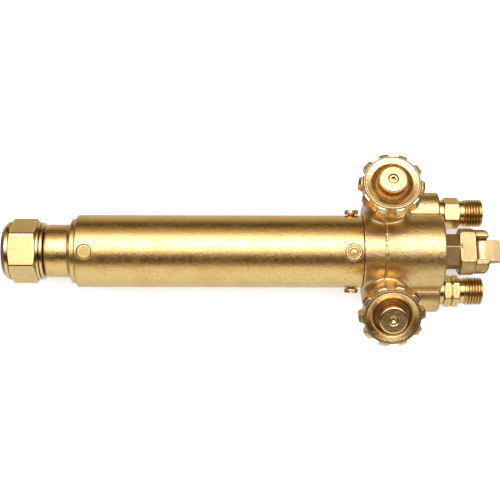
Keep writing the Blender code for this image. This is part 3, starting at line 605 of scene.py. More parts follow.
@dataclass(frozen=True)
class Finish:
    """A metal or packing surface.

    Attributes:
        name: The material's name, where no title is given.
        colour: The clean surface's colour.
        dull: The colour of its worn and tarnished patches.
        roughness: The surface's mean roughness.
        grain: Size of its blasted or cast grain.
        grain_height: How high the grain stands.
        tool_mark: Distance between turning marks, or 0 for none.
        tool_height: How high the turning marks stand.
        metal: Whether it is metal.
        deep: The colour of dirt and painted shade in its corners.
        rubbed: The colour of its rubbed edges.
    """

    name: str
    colour: tuple[float, float, float]
    dull: tuple[float, float, float]
    roughness: float
    grain: float = 0.45 * MM
    grain_height: float = 0.03 * MM
    tool_mark: float = 0.0
    tool_height: float = 0.0
    metal: bool = True
    # corner colour for dirt and painted shade
    deep: tuple[float, float, float] = (0.26, 0.13, 0.03)
    rubbed: tuple[float, float, float] = (0.95, 0.74, 0.38)

    def material(self, title: str = "", axis: Sequence[float] = (1.0, 0.0, 0.0)) -> bpy.types.Material:
        """Builds the finish.

        Args:
            title: The material's own name, where it isn't the finish's name.
            axis: The direction that the piece was turned about.

        Returns:
            The new material.
        """
        made = bpy.data.materials.new(title or self.name)
        made.use_nodes = True
        tree = made.node_tree
        shader = tree.nodes["Principled BSDF"]
        spot = node(tree, "ShaderNodeTexCoord", output="Object")

        def noise(size: float, detail: float, source: Shade = spot) -> Shade:
            """A noise whose patches have this size."""
            return node(
                tree, "ShaderNodeTexNoise", {"noise_dimensions": "3D"},
                {"Vector": source, "Scale": 1 / size, "Detail": detail, "Roughness": 0.6},
            )

        grain = noise(self.grain, 2.0)
        patch = noise(self.grain * 24, 4.0).between(0.38, 0.7)
        fleck = noise(self.grain * 3.2, 3.0).between(0.45, 0.75)
        wear = node(tree, "ShaderNodeAttribute", {"attribute_name": "wear"}, output="Fac")
        # mask of dirt and painted shade in corners, grooves and pits
        dirt_and_shade = (0.0 - wear).between(0.1, 1.0) * (0.75 + fleck * 0.25)
        shine = wear.between(0.25, 1.0) * (1.0 - fleck * 0.5)
        tarnish = patch * 0.35 + fleck * 0.3 + grain.between(0.4, 0.62) * 0.2
        colour = blended(tree, tarnish, self.colour, self.dull)
        # corners take the deep colour: dirt and painted shade
        colour = blended(tree, dirt_and_shade * 0.8, colour, self.deep)
        colour = blended(tree, shine * 0.5, colour, self.rubbed)
        tree.links.new(colour.socket, shader.inputs["Base Color"])
        uneven = grain * 0.12 + fleck * 0.08 + patch * 0.06 + dirt_and_shade * 0.2 - shine * 0.06
        rough = uneven + (self.roughness - 0.12)
        tree.links.new(rough.socket, shader.inputs["Roughness"])
        shader.inputs["Metallic"].default_value = 1.0 if self.metal else 0.0
        relief = {"Height": grain + fleck * 0.5, "Distance": self.grain_height}
        bump = node(tree, "ShaderNodeBump", values=relief)
        if self.tool_mark > 0:
            height = node(tree, "ShaderNodeVectorMath", {"operation": "DOT_PRODUCT"}, {0: spot, 1: axis}, 1)
            wobble = noise(6 * MM, 1.0) * (0.4 * MM)
            marks = node(
                tree, "ShaderNodeTexNoise", {"noise_dimensions": "1D"},
                {"W": height + wobble, "Scale": 1 / self.tool_mark, "Detail": 2.0},
            )
            relief = {"Height": marks, "Distance": self.tool_height, "Normal": bump}
            bump = node(tree, "ShaderNodeBump", values=relief)
        tree.links.new(bump.socket, shader.inputs["Normal"])
        return made


SATIN = Finish("satin_brass", (0.87, 0.59, 0.21), (0.68, 0.41, 0.11), 0.30, 0.5 * MM, 0.05 * MM)
FORGED = Finish("forged_brass", (0.80, 0.545, 0.21), (0.50, 0.30, 0.09), 0.34, 0.6 * MM, 0.1 * MM)
MACHINED = Finish(
    "machined_brass", (0.86, 0.60, 0.22), (0.64, 0.39, 0.11), 0.22, 0.6 * MM, 0.02 * MM, 0.3 * MM, 0.012 * MM
)
# forged brass painted darker for the swivel: painted shade over its brightly lit faces
SWIVEL_PAINTED_SHADE = Finish("forged_brass", (0.58, 0.39, 0.15), (0.40, 0.25, 0.08), 0.48, 0.6 * MM, 0.06 * MM)
KNOB = Finish(
    "knob_brass", (0.84, 0.60, 0.26), (0.55, 0.35, 0.13), 0.27, 0.6 * MM, 0.05 * MM, 0.4 * MM, 0.01 * MM
)
PACKING = Finish(
    "packing_white", (0.86, 0.85, 0.80), (0.70, 0.66, 0.56), 0.6, 0.3 * MM, 0.01 * MM,
    metal=False, deep=(0.45, 0.40, 0.30), rubbed=(0.9, 0.89, 0.85),
)
STEEL = Finish(
    "ball_steel", (0.62, 0.62, 0.64), (0.48, 0.47, 0.47), 0.2, 0.3 * MM, 0.002 * MM,
    deep=(0.2, 0.2, 0.2), rubbed=(0.75, 0.75, 0.77),
)


def settle(piece: bpy.types.Object, body: str, node_name: str) -> None:
    """Says which body a new piece rides on and which CAD node it stands for.

    Args:
        piece: The new piece.
        body: The CAD body that it moves with.
        node_name: The CAD node that it replaces.
    """
    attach(piece, body)
    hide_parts(node_name)


def dress(node_name: str, finish: bpy.types.Material) -> None:
    """Gives a CAD node's object a procedural material in place of its plain one."""
    cad = bpy.data.objects[node_name]
    for number in range(len(cad.material_slots)):
        cad.material_slots[number].material = finish
    LOG.info("%s: dressed", node_name)


# ---------------------------------------------------------------- shared forms


def hex_angles(per_side: int = 20) -> Array:
    """Angles round a hexagon with a corner at 0, crowded towards its corners by a sine."""
    share = np.linspace(-1, 1, per_side, endpoint=False)
    side = HALF_SIDE * np.sin(share * QUARTER)
    return (HALF_SIDE + side[None] + np.arange(6)[:, None] * 2 * HALF_SIDE).ravel()


def hex_radius(flats: float, angle: Array, blunt: float = 0.985) -> Array:
    """Radius of a hexagon with blunted corners: half its flats over the cosine from a flat's middle."""
    flat = flats / 2 / np.cos(angle % (2 * HALF_SIDE) - HALF_SIDE)
    return -soft_greater(-flat, np.full_like(flat, -flats / math.sqrt(3) * blunt), 0.12 * MM)


def hex_reach(flats: float, low: float, high: float) -> Reach:
    """A function that cuts a turned outline to a hexagon between two heights.

    Args:
        flats: The hexagon's width across its flats.
        low: Where it starts.
        high: Where it ends.

    Returns:
        A reach for turned().
    """

    def reach(height: Array, angle: Array, radius: Array) -> tuple[Array, Array]:
        """The lesser of the outline's and the hexagon's radius."""
        cut = -soft_greater(-radius, -hex_radius(flats, angle), 0.1 * MM)
        return height, np.where((height > low) & (height < high) & (radius > flats * 0.35), cut, radius)

    return reach


def thread_wave(turn: Array) -> Array:
    """A thread's profile, 1 on its crest and 0 in its groove: a clipped triangle wave of the turn."""
    return np.clip(2.5 * np.abs(turn % 1 * 2 - 1) - 0.25, 0, 1.8) / 1.8


def faded(height: Array, start: float, end: float, run_in: float, run_out: float) -> Array:
    """Grows from 0 at the start to 1 over the run in, and falls to 0 at the end over the run out."""
    return np.clip((height - start) / run_in, 0, 1) * np.clip((end - height) / run_out, 0, 1)


# ---------------------------------------------------------------- coupling nut and head


@dataclass(frozen=True)
class CouplingNut:
    """The hexagon nut at the front, with its split retaining ring."""

    flats: float = 28.6 * MM
    length: float = 18.7 * MM
    face: float = 12.35 * MM
    collar: float = 14.6 * MM
    bore: float = 10.6 * MM
    mouth: float = 11.2 * MM
    face_chamfer: float = 2.1 * MM
    front_collar: float = 3.8 * MM
    rear_collar: float = 1.4 * MM
    corner_chamfer: float = 2.0 * MM
    pitch: float = 1.814 * MM
    thread_depth: float = 0.8 * MM
    thread_start: float = 1.0 * MM
    thread_end: float = 8.6 * MM
    ring_radius: float = 14.2 * MM
    ring_bore: float = 9.3 * MM
    hub: float = 10.3 * MM
    split: float = 2.0 * MM

    def outline(self) -> Array:
        """The nut's half section: face, front collar, hexagon's corners, rear collar and bore."""
        corner = self.flats / math.sqrt(3)
        rear = self.length - self.rear_collar
        steep = self.corner_chamfer / 2
        return rounded(
            [
                (0.6 * MM, self.bore),
                (0, self.mouth, 0.2 * MM),
                (0, self.face, 0.3 * MM),
                (self.face_chamfer, self.collar, 0.5 * MM),
                (self.front_collar - 0.3 * MM, self.collar, 0.15 * MM),
                (self.front_collar, self.flats * 0.5, 0.1 * MM),
                (self.front_collar + steep, corner, 0.35 * MM),
                (rear - steep, corner, 0.35 * MM),
                (rear - 0.1 * MM, self.flats * 0.497, 0.2 * MM),
                (rear + 0.3 * MM, self.collar, 0.3 * MM),
                (self.length, self.collar, 0.45 * MM),
                (self.length, self.bore, 0.2 * MM),
            ],
            stride=0.22 * MM,
        )

    def cut(self, height: Array, angle: Array, radius: Array) -> tuple[Array, Array]:
        """Cuts the hexagon outside and a thread into the front of the bore.

        The thread's wave follows the height in pitches less the angle in turns. It fades in and out
        over half a pitch.
        """
        sides = hex_reach(self.flats, self.front_collar - 0.1 * MM, self.length - self.rear_collar + 0.1 * MM)
        height, radius = sides(height, angle, radius)
        depth = self.thread_depth * (1 - thread_wave(height / self.pitch - angle / math.tau))
        depth = depth * faded(height, self.thread_start, self.thread_end, self.pitch / 2, self.pitch / 2)
        return height, radius + depth * (radius < self.bore + 0.05 * MM)

    def build(self) -> None:
        """Makes the nut and its ring."""
        line = torch_line()
        machined = MACHINED.material("nut_brass")
        nut = turned("coupling_nut_turned", self.outline(), line, machined, hex_angles(), self.cut)
        settle(nut, "coupling_nut", "coupling_nut")
        front, rear = station("nut_retaining_ring", 0), station("nut_retaining_ring", 1)
        flange = rod(line, self.ring_radius, self.length + GAP, rear, 0.5 * MM)
        ring = flange.joined(rod(line, self.hub, front, self.length + 0.6 * MM), 0.2 * MM)
        ring = ring.without(rod(line, self.ring_bore, 0, 2 * self.length), 0.2 * MM)
        wide = 2 * self.ring_radius
        gap = block(line, (-self.split / 2, -wide, 0), (self.split / 2, 0, 2 * self.length))
        ring = ring.without(gap, 0.3 * MM)
        box = node_box("nut_retaining_ring")
        piece = level_surface("retaining_ring_formed", ring, box, 0.25 * MM, machined)
        settle(piece, "coupling_nut", "nut_retaining_ring")


@dataclass(frozen=True)
class Head:
    """The turned connector behind the nut, and the plug that holds it in the barrel."""

    flange: float = 9.9 * MM
    flange_length: float = 7.5 * MM
    journal: float = 8.9 * MM
    setback: float = 9.0 * MM
    mouth: float = 7.5 * MM
    throat: float = 3.8 * MM
    seat_depth: float = 6.5 * MM
    oxygen_port: float = 2.6 * MM
    fuel_port: float = 1.3 * MM
    fuel_port_offset: float = -6.4 * MM
    neck: float = 13.4 * MM
    neck_front: float = 20.9 * MM
    neck_rear: float = 32.8 * MM
    shoulder: float = 16.3 * MM
    cone: float = 1.6 * MM
    socket: float = 7.0 * MM
    oxygen_socket: float = 4.3 * MM
    fuel_socket: float = 3.5 * MM
    fuel_offset: float = -8.0 * MM
    plug: float = 3.5 * MM
    plug_sunk: float = 0.5 * MM
    plug_depth: float = 3.7 * MM

    def blank(self) -> Solid:
        """Flange, journal, neck and, behind a cone, the spigot that carries the barrel."""
        line = torch_line()
        solid = rod(line, self.flange, self.setback, self.setback + self.flange_length, 0.4 * MM)
        solid = solid.joined(rod(line, self.journal, self.setback, self.neck_front + OVER))
        solid = solid.joined(rod(line, self.neck, self.neck_front, self.neck_rear + 3 * OVER, 2.0 * MM))
        slope = (self.shoulder - self.neck) / self.cone

        def flare(points: Array) -> Array:
            """Distance from the lesser of the cone and the spigot, softened by half the cone's slope."""
            radius = self.neck + slope * (line.local(points)[..., 2] - self.neck_rear)
            return (line.off_axis(points) - np.minimum(self.shoulder, radius)) / math.hypot(1, slope / 2)

        spigot = Solid(flare).within(half_space(line, self.neck_rear - 0.05 * MM, True))
        rear = half_space(line, station("head_connector", 1), False)
        return solid.joined(spigot, 0.5 * MM).within(rear, 0.4 * MM)

    def seat(self) -> Solid:
        """The cone that the tip's end seats in."""
        line = torch_line()
        taper = (self.mouth - self.throat) / self.seat_depth

        def cone(points: Array) -> Array:
            """Distance from a cone that narrows from mouth to throat."""
            radius = self.mouth - taper * (line.local(points)[..., 2] - self.setback)
            return (line.off_axis(points) - radius) / math.hypot(1, taper)

        return Solid(cone).within(half_space(line, self.setback + self.seat_depth, False))

    def build(self) -> None:
        """Makes the connector and the plug."""
        line = torch_line()
        rear = station("head_connector", 1)
        floor = rear - self.socket
        solid = self.blank().without(self.seat(), 0.4 * MM)
        for shift, offset, port, wide, start in (
            (0.0, 0.0, self.oxygen_port, self.oxygen_socket, self.setback + self.seat_depth - OVER),
            (self.fuel_port_offset, self.fuel_offset, self.fuel_port, self.fuel_socket, self.setback - OVER),
        ):
            solid = solid.without(rod(line.moved(shift), port, start, floor + OVER), 0.3 * MM)
            solid = solid.without(rod(line.moved(offset), wide, floor, rear + OVER), 0.3 * MM)
        out = Barrel().outward("front_plug", 0.0)
        solid = solid.without(rod(out, self.plug + GAP, self.shoulder - 4 * MM, 2 * self.shoulder), 0.2 * MM)
        satin = SATIN.material("head_brass")
        piece = level_surface("head_turned", solid, node_box("head_connector"), 0.36 * MM, satin)
        settle(piece, "torch_body", "head_connector")
        top = Barrel().radius - self.plug_sunk
        foot = self.shoulder - self.plug_depth
        disc = rounded([(foot, 0), (foot, self.plug, 0.3 * MM), (top, self.plug, 0.35 * MM), (top, 0)])
        brass = MACHINED.material("plug_brass", tuple(out.axis))
        plug = turned("front_plug_turned", disc, out, brass, even_angles(64))
        settle(plug, "torch_body", "front_plug")


# ---------------------------------------------------------------- barrel


@dataclass(frozen=True)
class Barrel:
    """The tube between head and forging, with its drilled holes, two rivets and two screws."""

    radius: float = 18.2 * MM
    bore: float = 16.6 * MM
    edge: float = 1.2 * MM
    rear_edge: float = 0.25 * MM
    clock: float = math.radians(-3)
    plug_hole: float = 3.8 * MM
    rivet: float = 4.0 * MM
    shank: float = 1.7 * MM
    depth: float = 4.0 * MM
    screw_head: float = 3.5 * MM
    screw_height: float = 2.4 * MM
    slot_width: float = 1.0 * MM
    slot_depth: float = 1.1 * MM
    plug_band: float = 4.0 * MM
    rivet_band: float = 4.7 * MM
    band_half: float = math.radians(17)
    cells: int = 16
    plain_rows: int = 64
    coarse_columns: int = 22

    def outward(self, node_name: str, turn: float) -> Place:
        """A frame on the torch's axis at a fastener's station, whose third axis points out through it."""
        low, high = node_box(node_name)
        angle = self.clock + turn
        line = torch_line()
        origin = np.array(((low[0] + high[0]) / 2, 0.0, line.origin[2]))
        return Place(origin, ALONG, np.array((0.0, math.sin(angle), math.cos(angle))))

    def stations(self) -> tuple[Array, tuple[int, int]]:
        """Heights of the rows of the tube's grid, and the row where each band with holes starts.

        Returns:
            The heights from the nut's front face, and the first row at the plug and at the rivets.
        """
        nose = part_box("coupling_nut")[0].x
        plug = self.outward("front_plug", 0).origin[0] - nose
        rivet = self.outward("barrel_rivet_front", 0).origin[0] - nose
        front, rear = station("barrel", 0) + self.edge, station("barrel", 1) - self.rear_edge
        plug_band = (plug - self.plug_band, plug + self.plug_band)
        rivet_band = (rivet - self.rivet_band, rivet + self.rivet_band)
        spans = [
            (front, plug_band[0], 1),
            (*plug_band, self.cells),
            (plug_band[1], rivet_band[0], self.plain_rows),
            (*rivet_band, self.cells),
            (rivet_band[1], rear, 1),
        ]
        rows = [np.linspace(low, high, steps, endpoint=False) for low, high, steps in spans]
        return np.concatenate([*rows, [rear]]), (1, 1 + self.cells + self.plain_rows)

    def around(self) -> Array:
        """Angles round the tube: in each quarter a fine band with a hole in its middle, then a coarse one."""
        fine = np.linspace(-self.band_half, self.band_half, self.cells, endpoint=False)
        coarse = np.linspace(self.band_half, QUARTER - self.band_half, self.coarse_columns, endpoint=False)
        quarter = np.concatenate([fine, coarse])
        return (QUARTER - self.clock + quarter[None] + np.arange(4)[:, None] * QUARTER).ravel()

    def section(self, stations: Array) -> tuple[Array, int, int]:
        """The tube's half section, a closed loop that goes up the outside and down the bore.

        Args:
            stations: Heights of its rows between the two edges.

        Returns:
            The loop's (height, radius) rows, the first row outside, and the last row of the bore.
        """
        front, rear = stations[0] - self.edge, stations[-1]
        arc = np.linspace(0, QUARTER, 7)[:-1]
        edge = [stations[0] - self.edge * np.sin(QUARTER - arc), self.radius - self.edge * (1 - np.sin(arc))]
        outer = np.stack([stations, np.full_like(stations, self.radius)], axis=1)
        tail = np.array(
            [
                (rear + 0.18 * MM, self.radius - 0.07 * MM),
                (rear + self.rear_edge, self.radius - self.rear_edge),
                (rear + self.rear_edge, self.bore),
            ]
        )
        inner = np.stack([stations[::-1], np.full_like(stations, self.bore)], axis=1)
        loop = np.concatenate([np.stack(edge, axis=1), outer, tail, inner, [(front, self.bore)]])
        return loop, len(arc), len(loop) - 2

    def hole_rings(self, hole: float, u: Array, turn: Array) -> Array:
        """Rings of points from a square on the outside, down a hole's wall, to the square in the bore.

        A point at (u, v) from the hole's axis, v across the tube, lies at angle asin(v / radius), so
        the hole's wall is a true cylinder.

        Args:
            hole: The hole's radius.
            u: Along the tube, from the hole's middle, for each point of the square.
            turn: Round the tube, from the hole's middle, for each point of the square.

        Returns:
            For each ring, its points as (angle from the hole's middle, radius, height from it).
        """
        rings = []
        for size, share, grown, sunk in (
            (self.radius, 0.6, 0.2 * MM, 0.0),
            (self.radius, 0.25, 0.2 * MM, 0.0),
            (self.radius, 0.0, 0.2 * MM, 0.0),
            (self.radius, 0.0, 0.05 * MM, 0.05 * MM),
            (self.radius, 0.0, 0.0, 0.2 * MM),
            (self.bore, 0.0, 0.0, 0.0),
            (self.bore, 0.5, 0.0, 0.0),
        ):
            v = size * np.sin(turn)
            bearing = np.arctan2(v, u)
            out = share * u + (1 - share) * (hole + grown) * np.cos(bearing)
            across = share * v + (1 - share) * (hole + grown) * np.sin(bearing)
            rings.append(np.stack([np.arcsin(across / size), np.full_like(u, size - sunk), out], axis=-1))
        return np.stack(rings)

    def tube(self, finish: bpy.types.Material) -> bpy.types.Object:
        """Makes the tube.

        Its half section goes round the axis on a grid. At each hole a square of cells is left out,
        outside and in the bore, and the two squares are joined by the hole's rings.

        Args:
            finish: Its material.

        Returns:
            The tube.
        """
        stations, (plug_row, rivet_row) = self.stations()
        angles = self.around()
        loop, first_outer, last_inner = self.section(stations)
        height, angle = np.meshgrid(loop[:, 0], angles, indexing="ij")
        radius = np.repeat(loop[:, 1:], len(angles), axis=1)
        numbers = np.arange(height.size).reshape(height.shape)
        quads = lattice_faces(numbers, wrap_rows=True).reshape(*height.shape, 4)
        keep = np.ones(height.shape, bool)
        points = [np.stack([angle, radius, height], axis=-1).reshape(-1, 3)]
        faces, total = [], height.size
        steps = np.arange(self.cells)
        top, low = np.full(self.cells, self.cells), np.zeros(self.cells, int)
        round_rows = np.concatenate([low, steps, top, self.cells - steps])
        round_columns = np.concatenate([steps, top, self.cells - steps, low])
        holes = [(plug_row, 0, self.plug_hole)]
        holes += [(rivet_row, turn, (self.shank if turn % 2 else self.rivet) + GAP) for turn in range(4)]
        for row, turn, hole in holes:
            column = turn * len(angles) // 4
            keep[first_outer + row : first_outer + row + self.cells, column + steps] = False
            keep[last_inner - row - self.cells : last_inner - row, column + steps] = False
            outside = first_outer + row + round_rows, (column + round_columns) % len(angles)
            inside = last_inner - row - round_rows, outside[1]
            centre = (stations[row] + stations[row + self.cells]) / 2
            middle = np.array((QUARTER - self.clock + turn * QUARTER, 0.0, centre))
            rings = self.hole_rings(hole, height[outside] - middle[2], angle[outside] - middle[0]) + middle
            points.append(rings.reshape(-1, 3))
            made = total + np.arange(rings.shape[0] * rings.shape[1]).reshape(rings.shape[:2])
            total += made.size
            faces.append(lattice_faces(np.stack([numbers[outside], *made, numbers[inside]]), wrap_rows=False))
        around, out, along = np.concatenate(points).T
        spots = np.stack([out * np.cos(around), out * np.sin(around), along], axis=-1)
        everything = np.concatenate([quads[keep], *faces])
        return mesh_object("barrel_tube", torch_line().put(spots), everything, finish)

    def rivets(self) -> None:
        """Makes the two rivets: a flush head with a shallow ring and a dimple."""
        top = self.radius - 0.05 * MM
        foot = self.bore - self.depth
        head = self.bore + 0.05 * MM
        outline = rounded(
            [
                (foot, 0),
                (foot, self.shank, 0.3 * MM),
                (head, self.shank),
                (head, self.rivet),
                (top, self.rivet, 0.45 * MM),
                (top + 0.02 * MM, 3.2 * MM, 0.3 * MM),
                (top - 0.28 * MM, 2.9 * MM, 0.2 * MM),
                (top - 0.18 * MM, 2.3 * MM, 0.15 * MM),
                (top - 0.75 * MM, 2.05 * MM, 0.3 * MM),
                (top - 0.62 * MM, 0),
            ],
            stride=0.5 * MM,
        )
        for name, turn in (("barrel_rivet_front", 0.0), ("barrel_rivet_back", math.pi)):
            place = self.outward(name, turn)
            finish = SATIN.material(name + "_brass", tuple(place.axis))
            piece = turned(name + "_set", outline, place, finish, even_angles(96))
            settle(piece, "torch_body", name)

    def screws(self) -> None:
        """Makes the two slotted screws whose heads stand proud of the tube."""
        seat = self.radius + GAP
        head = seat + self.screw_height
        for name, turn in (("barrel_screw_oxygen_side", QUARTER), ("barrel_screw_fuel_side", -QUARTER)):
            place = self.outward(name, turn)
            solid = rod(place, self.screw_head, seat, head, 0.8 * MM)
            solid = solid.joined(rod(place, self.shank, self.bore - self.depth, seat + OVER), 0.2 * MM)
            wide = 2 * self.screw_head
            half = self.slot_width / 2
            slot = block(place, (-half, -wide, head - self.slot_depth), (half, wide, head + OVER))
            brass = MACHINED.material(name + "_brass", tuple(place.axis))
            solid = solid.without(slot, 0.15 * MM)
            piece = level_surface(name + "_cut", solid, node_box(name), 0.16 * MM, brass)
            settle(piece, "torch_body", name)

    def build(self) -> None:
        """Makes the tube, its rivets and its screws."""
        settle(self.tube(SATIN.material()), "torch_body", "barrel")
        self.rivets()
        self.screws()
        for name in ("oxygen_tube", "fuel_tube"):
            dress(name, MACHINED.material(name + "_brass"))


# ---------------------------------------------------------------- rear forging


@dataclass(frozen=True)
class RearForging:
    """The forged body that carries valves, hose inlets and swivel."""

    spigot: float = 16.3 * MM
    spigot_length: float = 12.0 * MM
    collar: float = 18.2 * MM
    collar_length: float = 11.1 * MM
    body: float = 19.1 * MM
    ridge: float = 0.22 * MM
    wing: float = 10.7 * MM
    wing_setback: float = 0.5 * MM
    inlet_offset: float = 19.8 * MM
    inlet_drop: float = 7.8 * MM
    boss: float = 11.0 * MM
    boss_height: float = 26.0 * MM
    chamber: float = 3.4 * MM
    chamber_floor: float = 1.3 * MM
    seat_height: float = 3.2 * MM
    gland: float = 5.7 * MM
    gland_floor: float = 20.0 * MM
    socket: float = 6.3 * MM
    socket_depth: float = 9.3 * MM
    inlet: float = 6.1 * MM
    spot_face: float = 7.35 * MM
    port: float = 1.3 * MM
    port_start: float = 9.0 * MM

    def inlet_place(self, gas: Gas) -> Place:
        """A frame on a hose inlet's axis at its wing's rear face."""
        rear = station("rear_body", 1) - self.wing_setback
        return torch_line().moved(gas.value * self.inlet_offset, -self.inlet_drop, rear)

    def outside(self) -> Solid:
        """Spigot, collar and body with a wing and a boss on each side, cut flat underneath."""
        line = torch_line()
        front = station("rear_body", 0) + self.spigot_length
        step, rear = front + self.collar_length, station("rear_body", 1)
        solid = rod(line, self.body, step, rear, 1.2 * MM)
        solid = solid.joined(rod(line, self.collar, front, step + OVER, 0.4 * MM), 0.5 * MM)
        seam = rod(line, self.body + self.ridge, step - 0.5 * MM, step + 0.1 * MM, 0.3 * MM)
        solid = solid.joined(seam, 0.2 * MM)
        for gas in Gas:
            inlet = self.inlet_place(gas)
            length = inlet.origin[0] - gas.valve().origin[0]
            wing = capsule(inlet.moved(along=-length), self.wing, length, 1.5 * MM)
            solid = solid.joined(wing, 0.7 * MM)
        for gas in Gas:
            solid = solid.joined(capsule(gas.valve(), self.boss, self.boss_height, 0.8 * MM), 3.6 * MM)
        solid = solid.joined(rod(line, self.spigot, front - self.spigot_length, front + OVER, 0.4 * MM))
        floor = Place(np.zeros(3), ALONG, UP)
        return solid.within(half_space(floor, CAD_BOX[0][2], True), 0.8 * MM)

    def bored(self, solid: Solid, gas: Gas) -> Solid:
        """The forging with one gas's valve bore, hose inlet, tube socket and the two ports between them.

        Args:
            solid: The forging so far.
            gas: The gas.

        Returns:
            The forging with that side's bores.
        """
        line, head = torch_line(), Head()
        front = station("rear_body", 0)
        valve, inlet = gas.valve(), self.inlet_place(gas)
        offset, wide = 0.0, head.oxygen_socket
        if gas is Gas.FUEL:
            offset, wide = head.fuel_offset, head.fuel_socket
        tube_socket = rod(line.moved(offset), wide, front - OVER, front + head.socket)
        solid = solid.without(tube_socket, 0.3 * MM)
        solid = solid.without(rod(valve, self.chamber, self.chamber_floor, self.boss_height), 0.2 * MM)
        solid = solid.without(rod(valve, self.gland, self.gland_floor, self.boss_height + OVER), 0.3 * MM)
        solid = solid.without(rod(inlet, self.inlet, -self.socket_depth, 3 * OVER), 0.3 * MM)
        solid = solid.without(rod(inlet, self.spot_face, 0, 3 * OVER), 0.2 * MM)
        seat = valve.moved(along=self.seat_height).origin
        tube_end = line.moved(offset, along=front + head.socket).origin
        for start in (inlet.moved(along=-self.port_start).origin, tube_end):
            span = seat - start
            length = float(np.linalg.norm(span))
            side = np.cross(span, UP)
            way = Place(start, side / np.linalg.norm(side), span / length)
            solid = solid.without(rod(way, self.port, -self.port, length + self.port))
        return solid

    def build(self) -> None:
        """Cuts the bores and makes the forging."""
        rear = station("rear_body", 1)
        socket = rod(torch_line(), self.socket, rear - self.socket_depth, rear + OVER)
        solid = self.outside().without(socket, 0.4 * MM)
        for gas in Gas:
            solid = self.bored(solid, gas)
        for turn in range(4):
            place = Barrel().outward("barrel_rivet_front", turn * QUARTER)
            hole = rod(place, Barrel().shank + GAP, self.spigot - 4 * MM, self.collar)
            solid = solid.without(hole, 0.2 * MM)
        piece = level_surface("rear_forging", solid, node_box("rear_body"), 0.5 * MM, FORGED.material())
        settle(piece, "torch_body", "rear_body")


# ---------------------------------------------------------------- valves


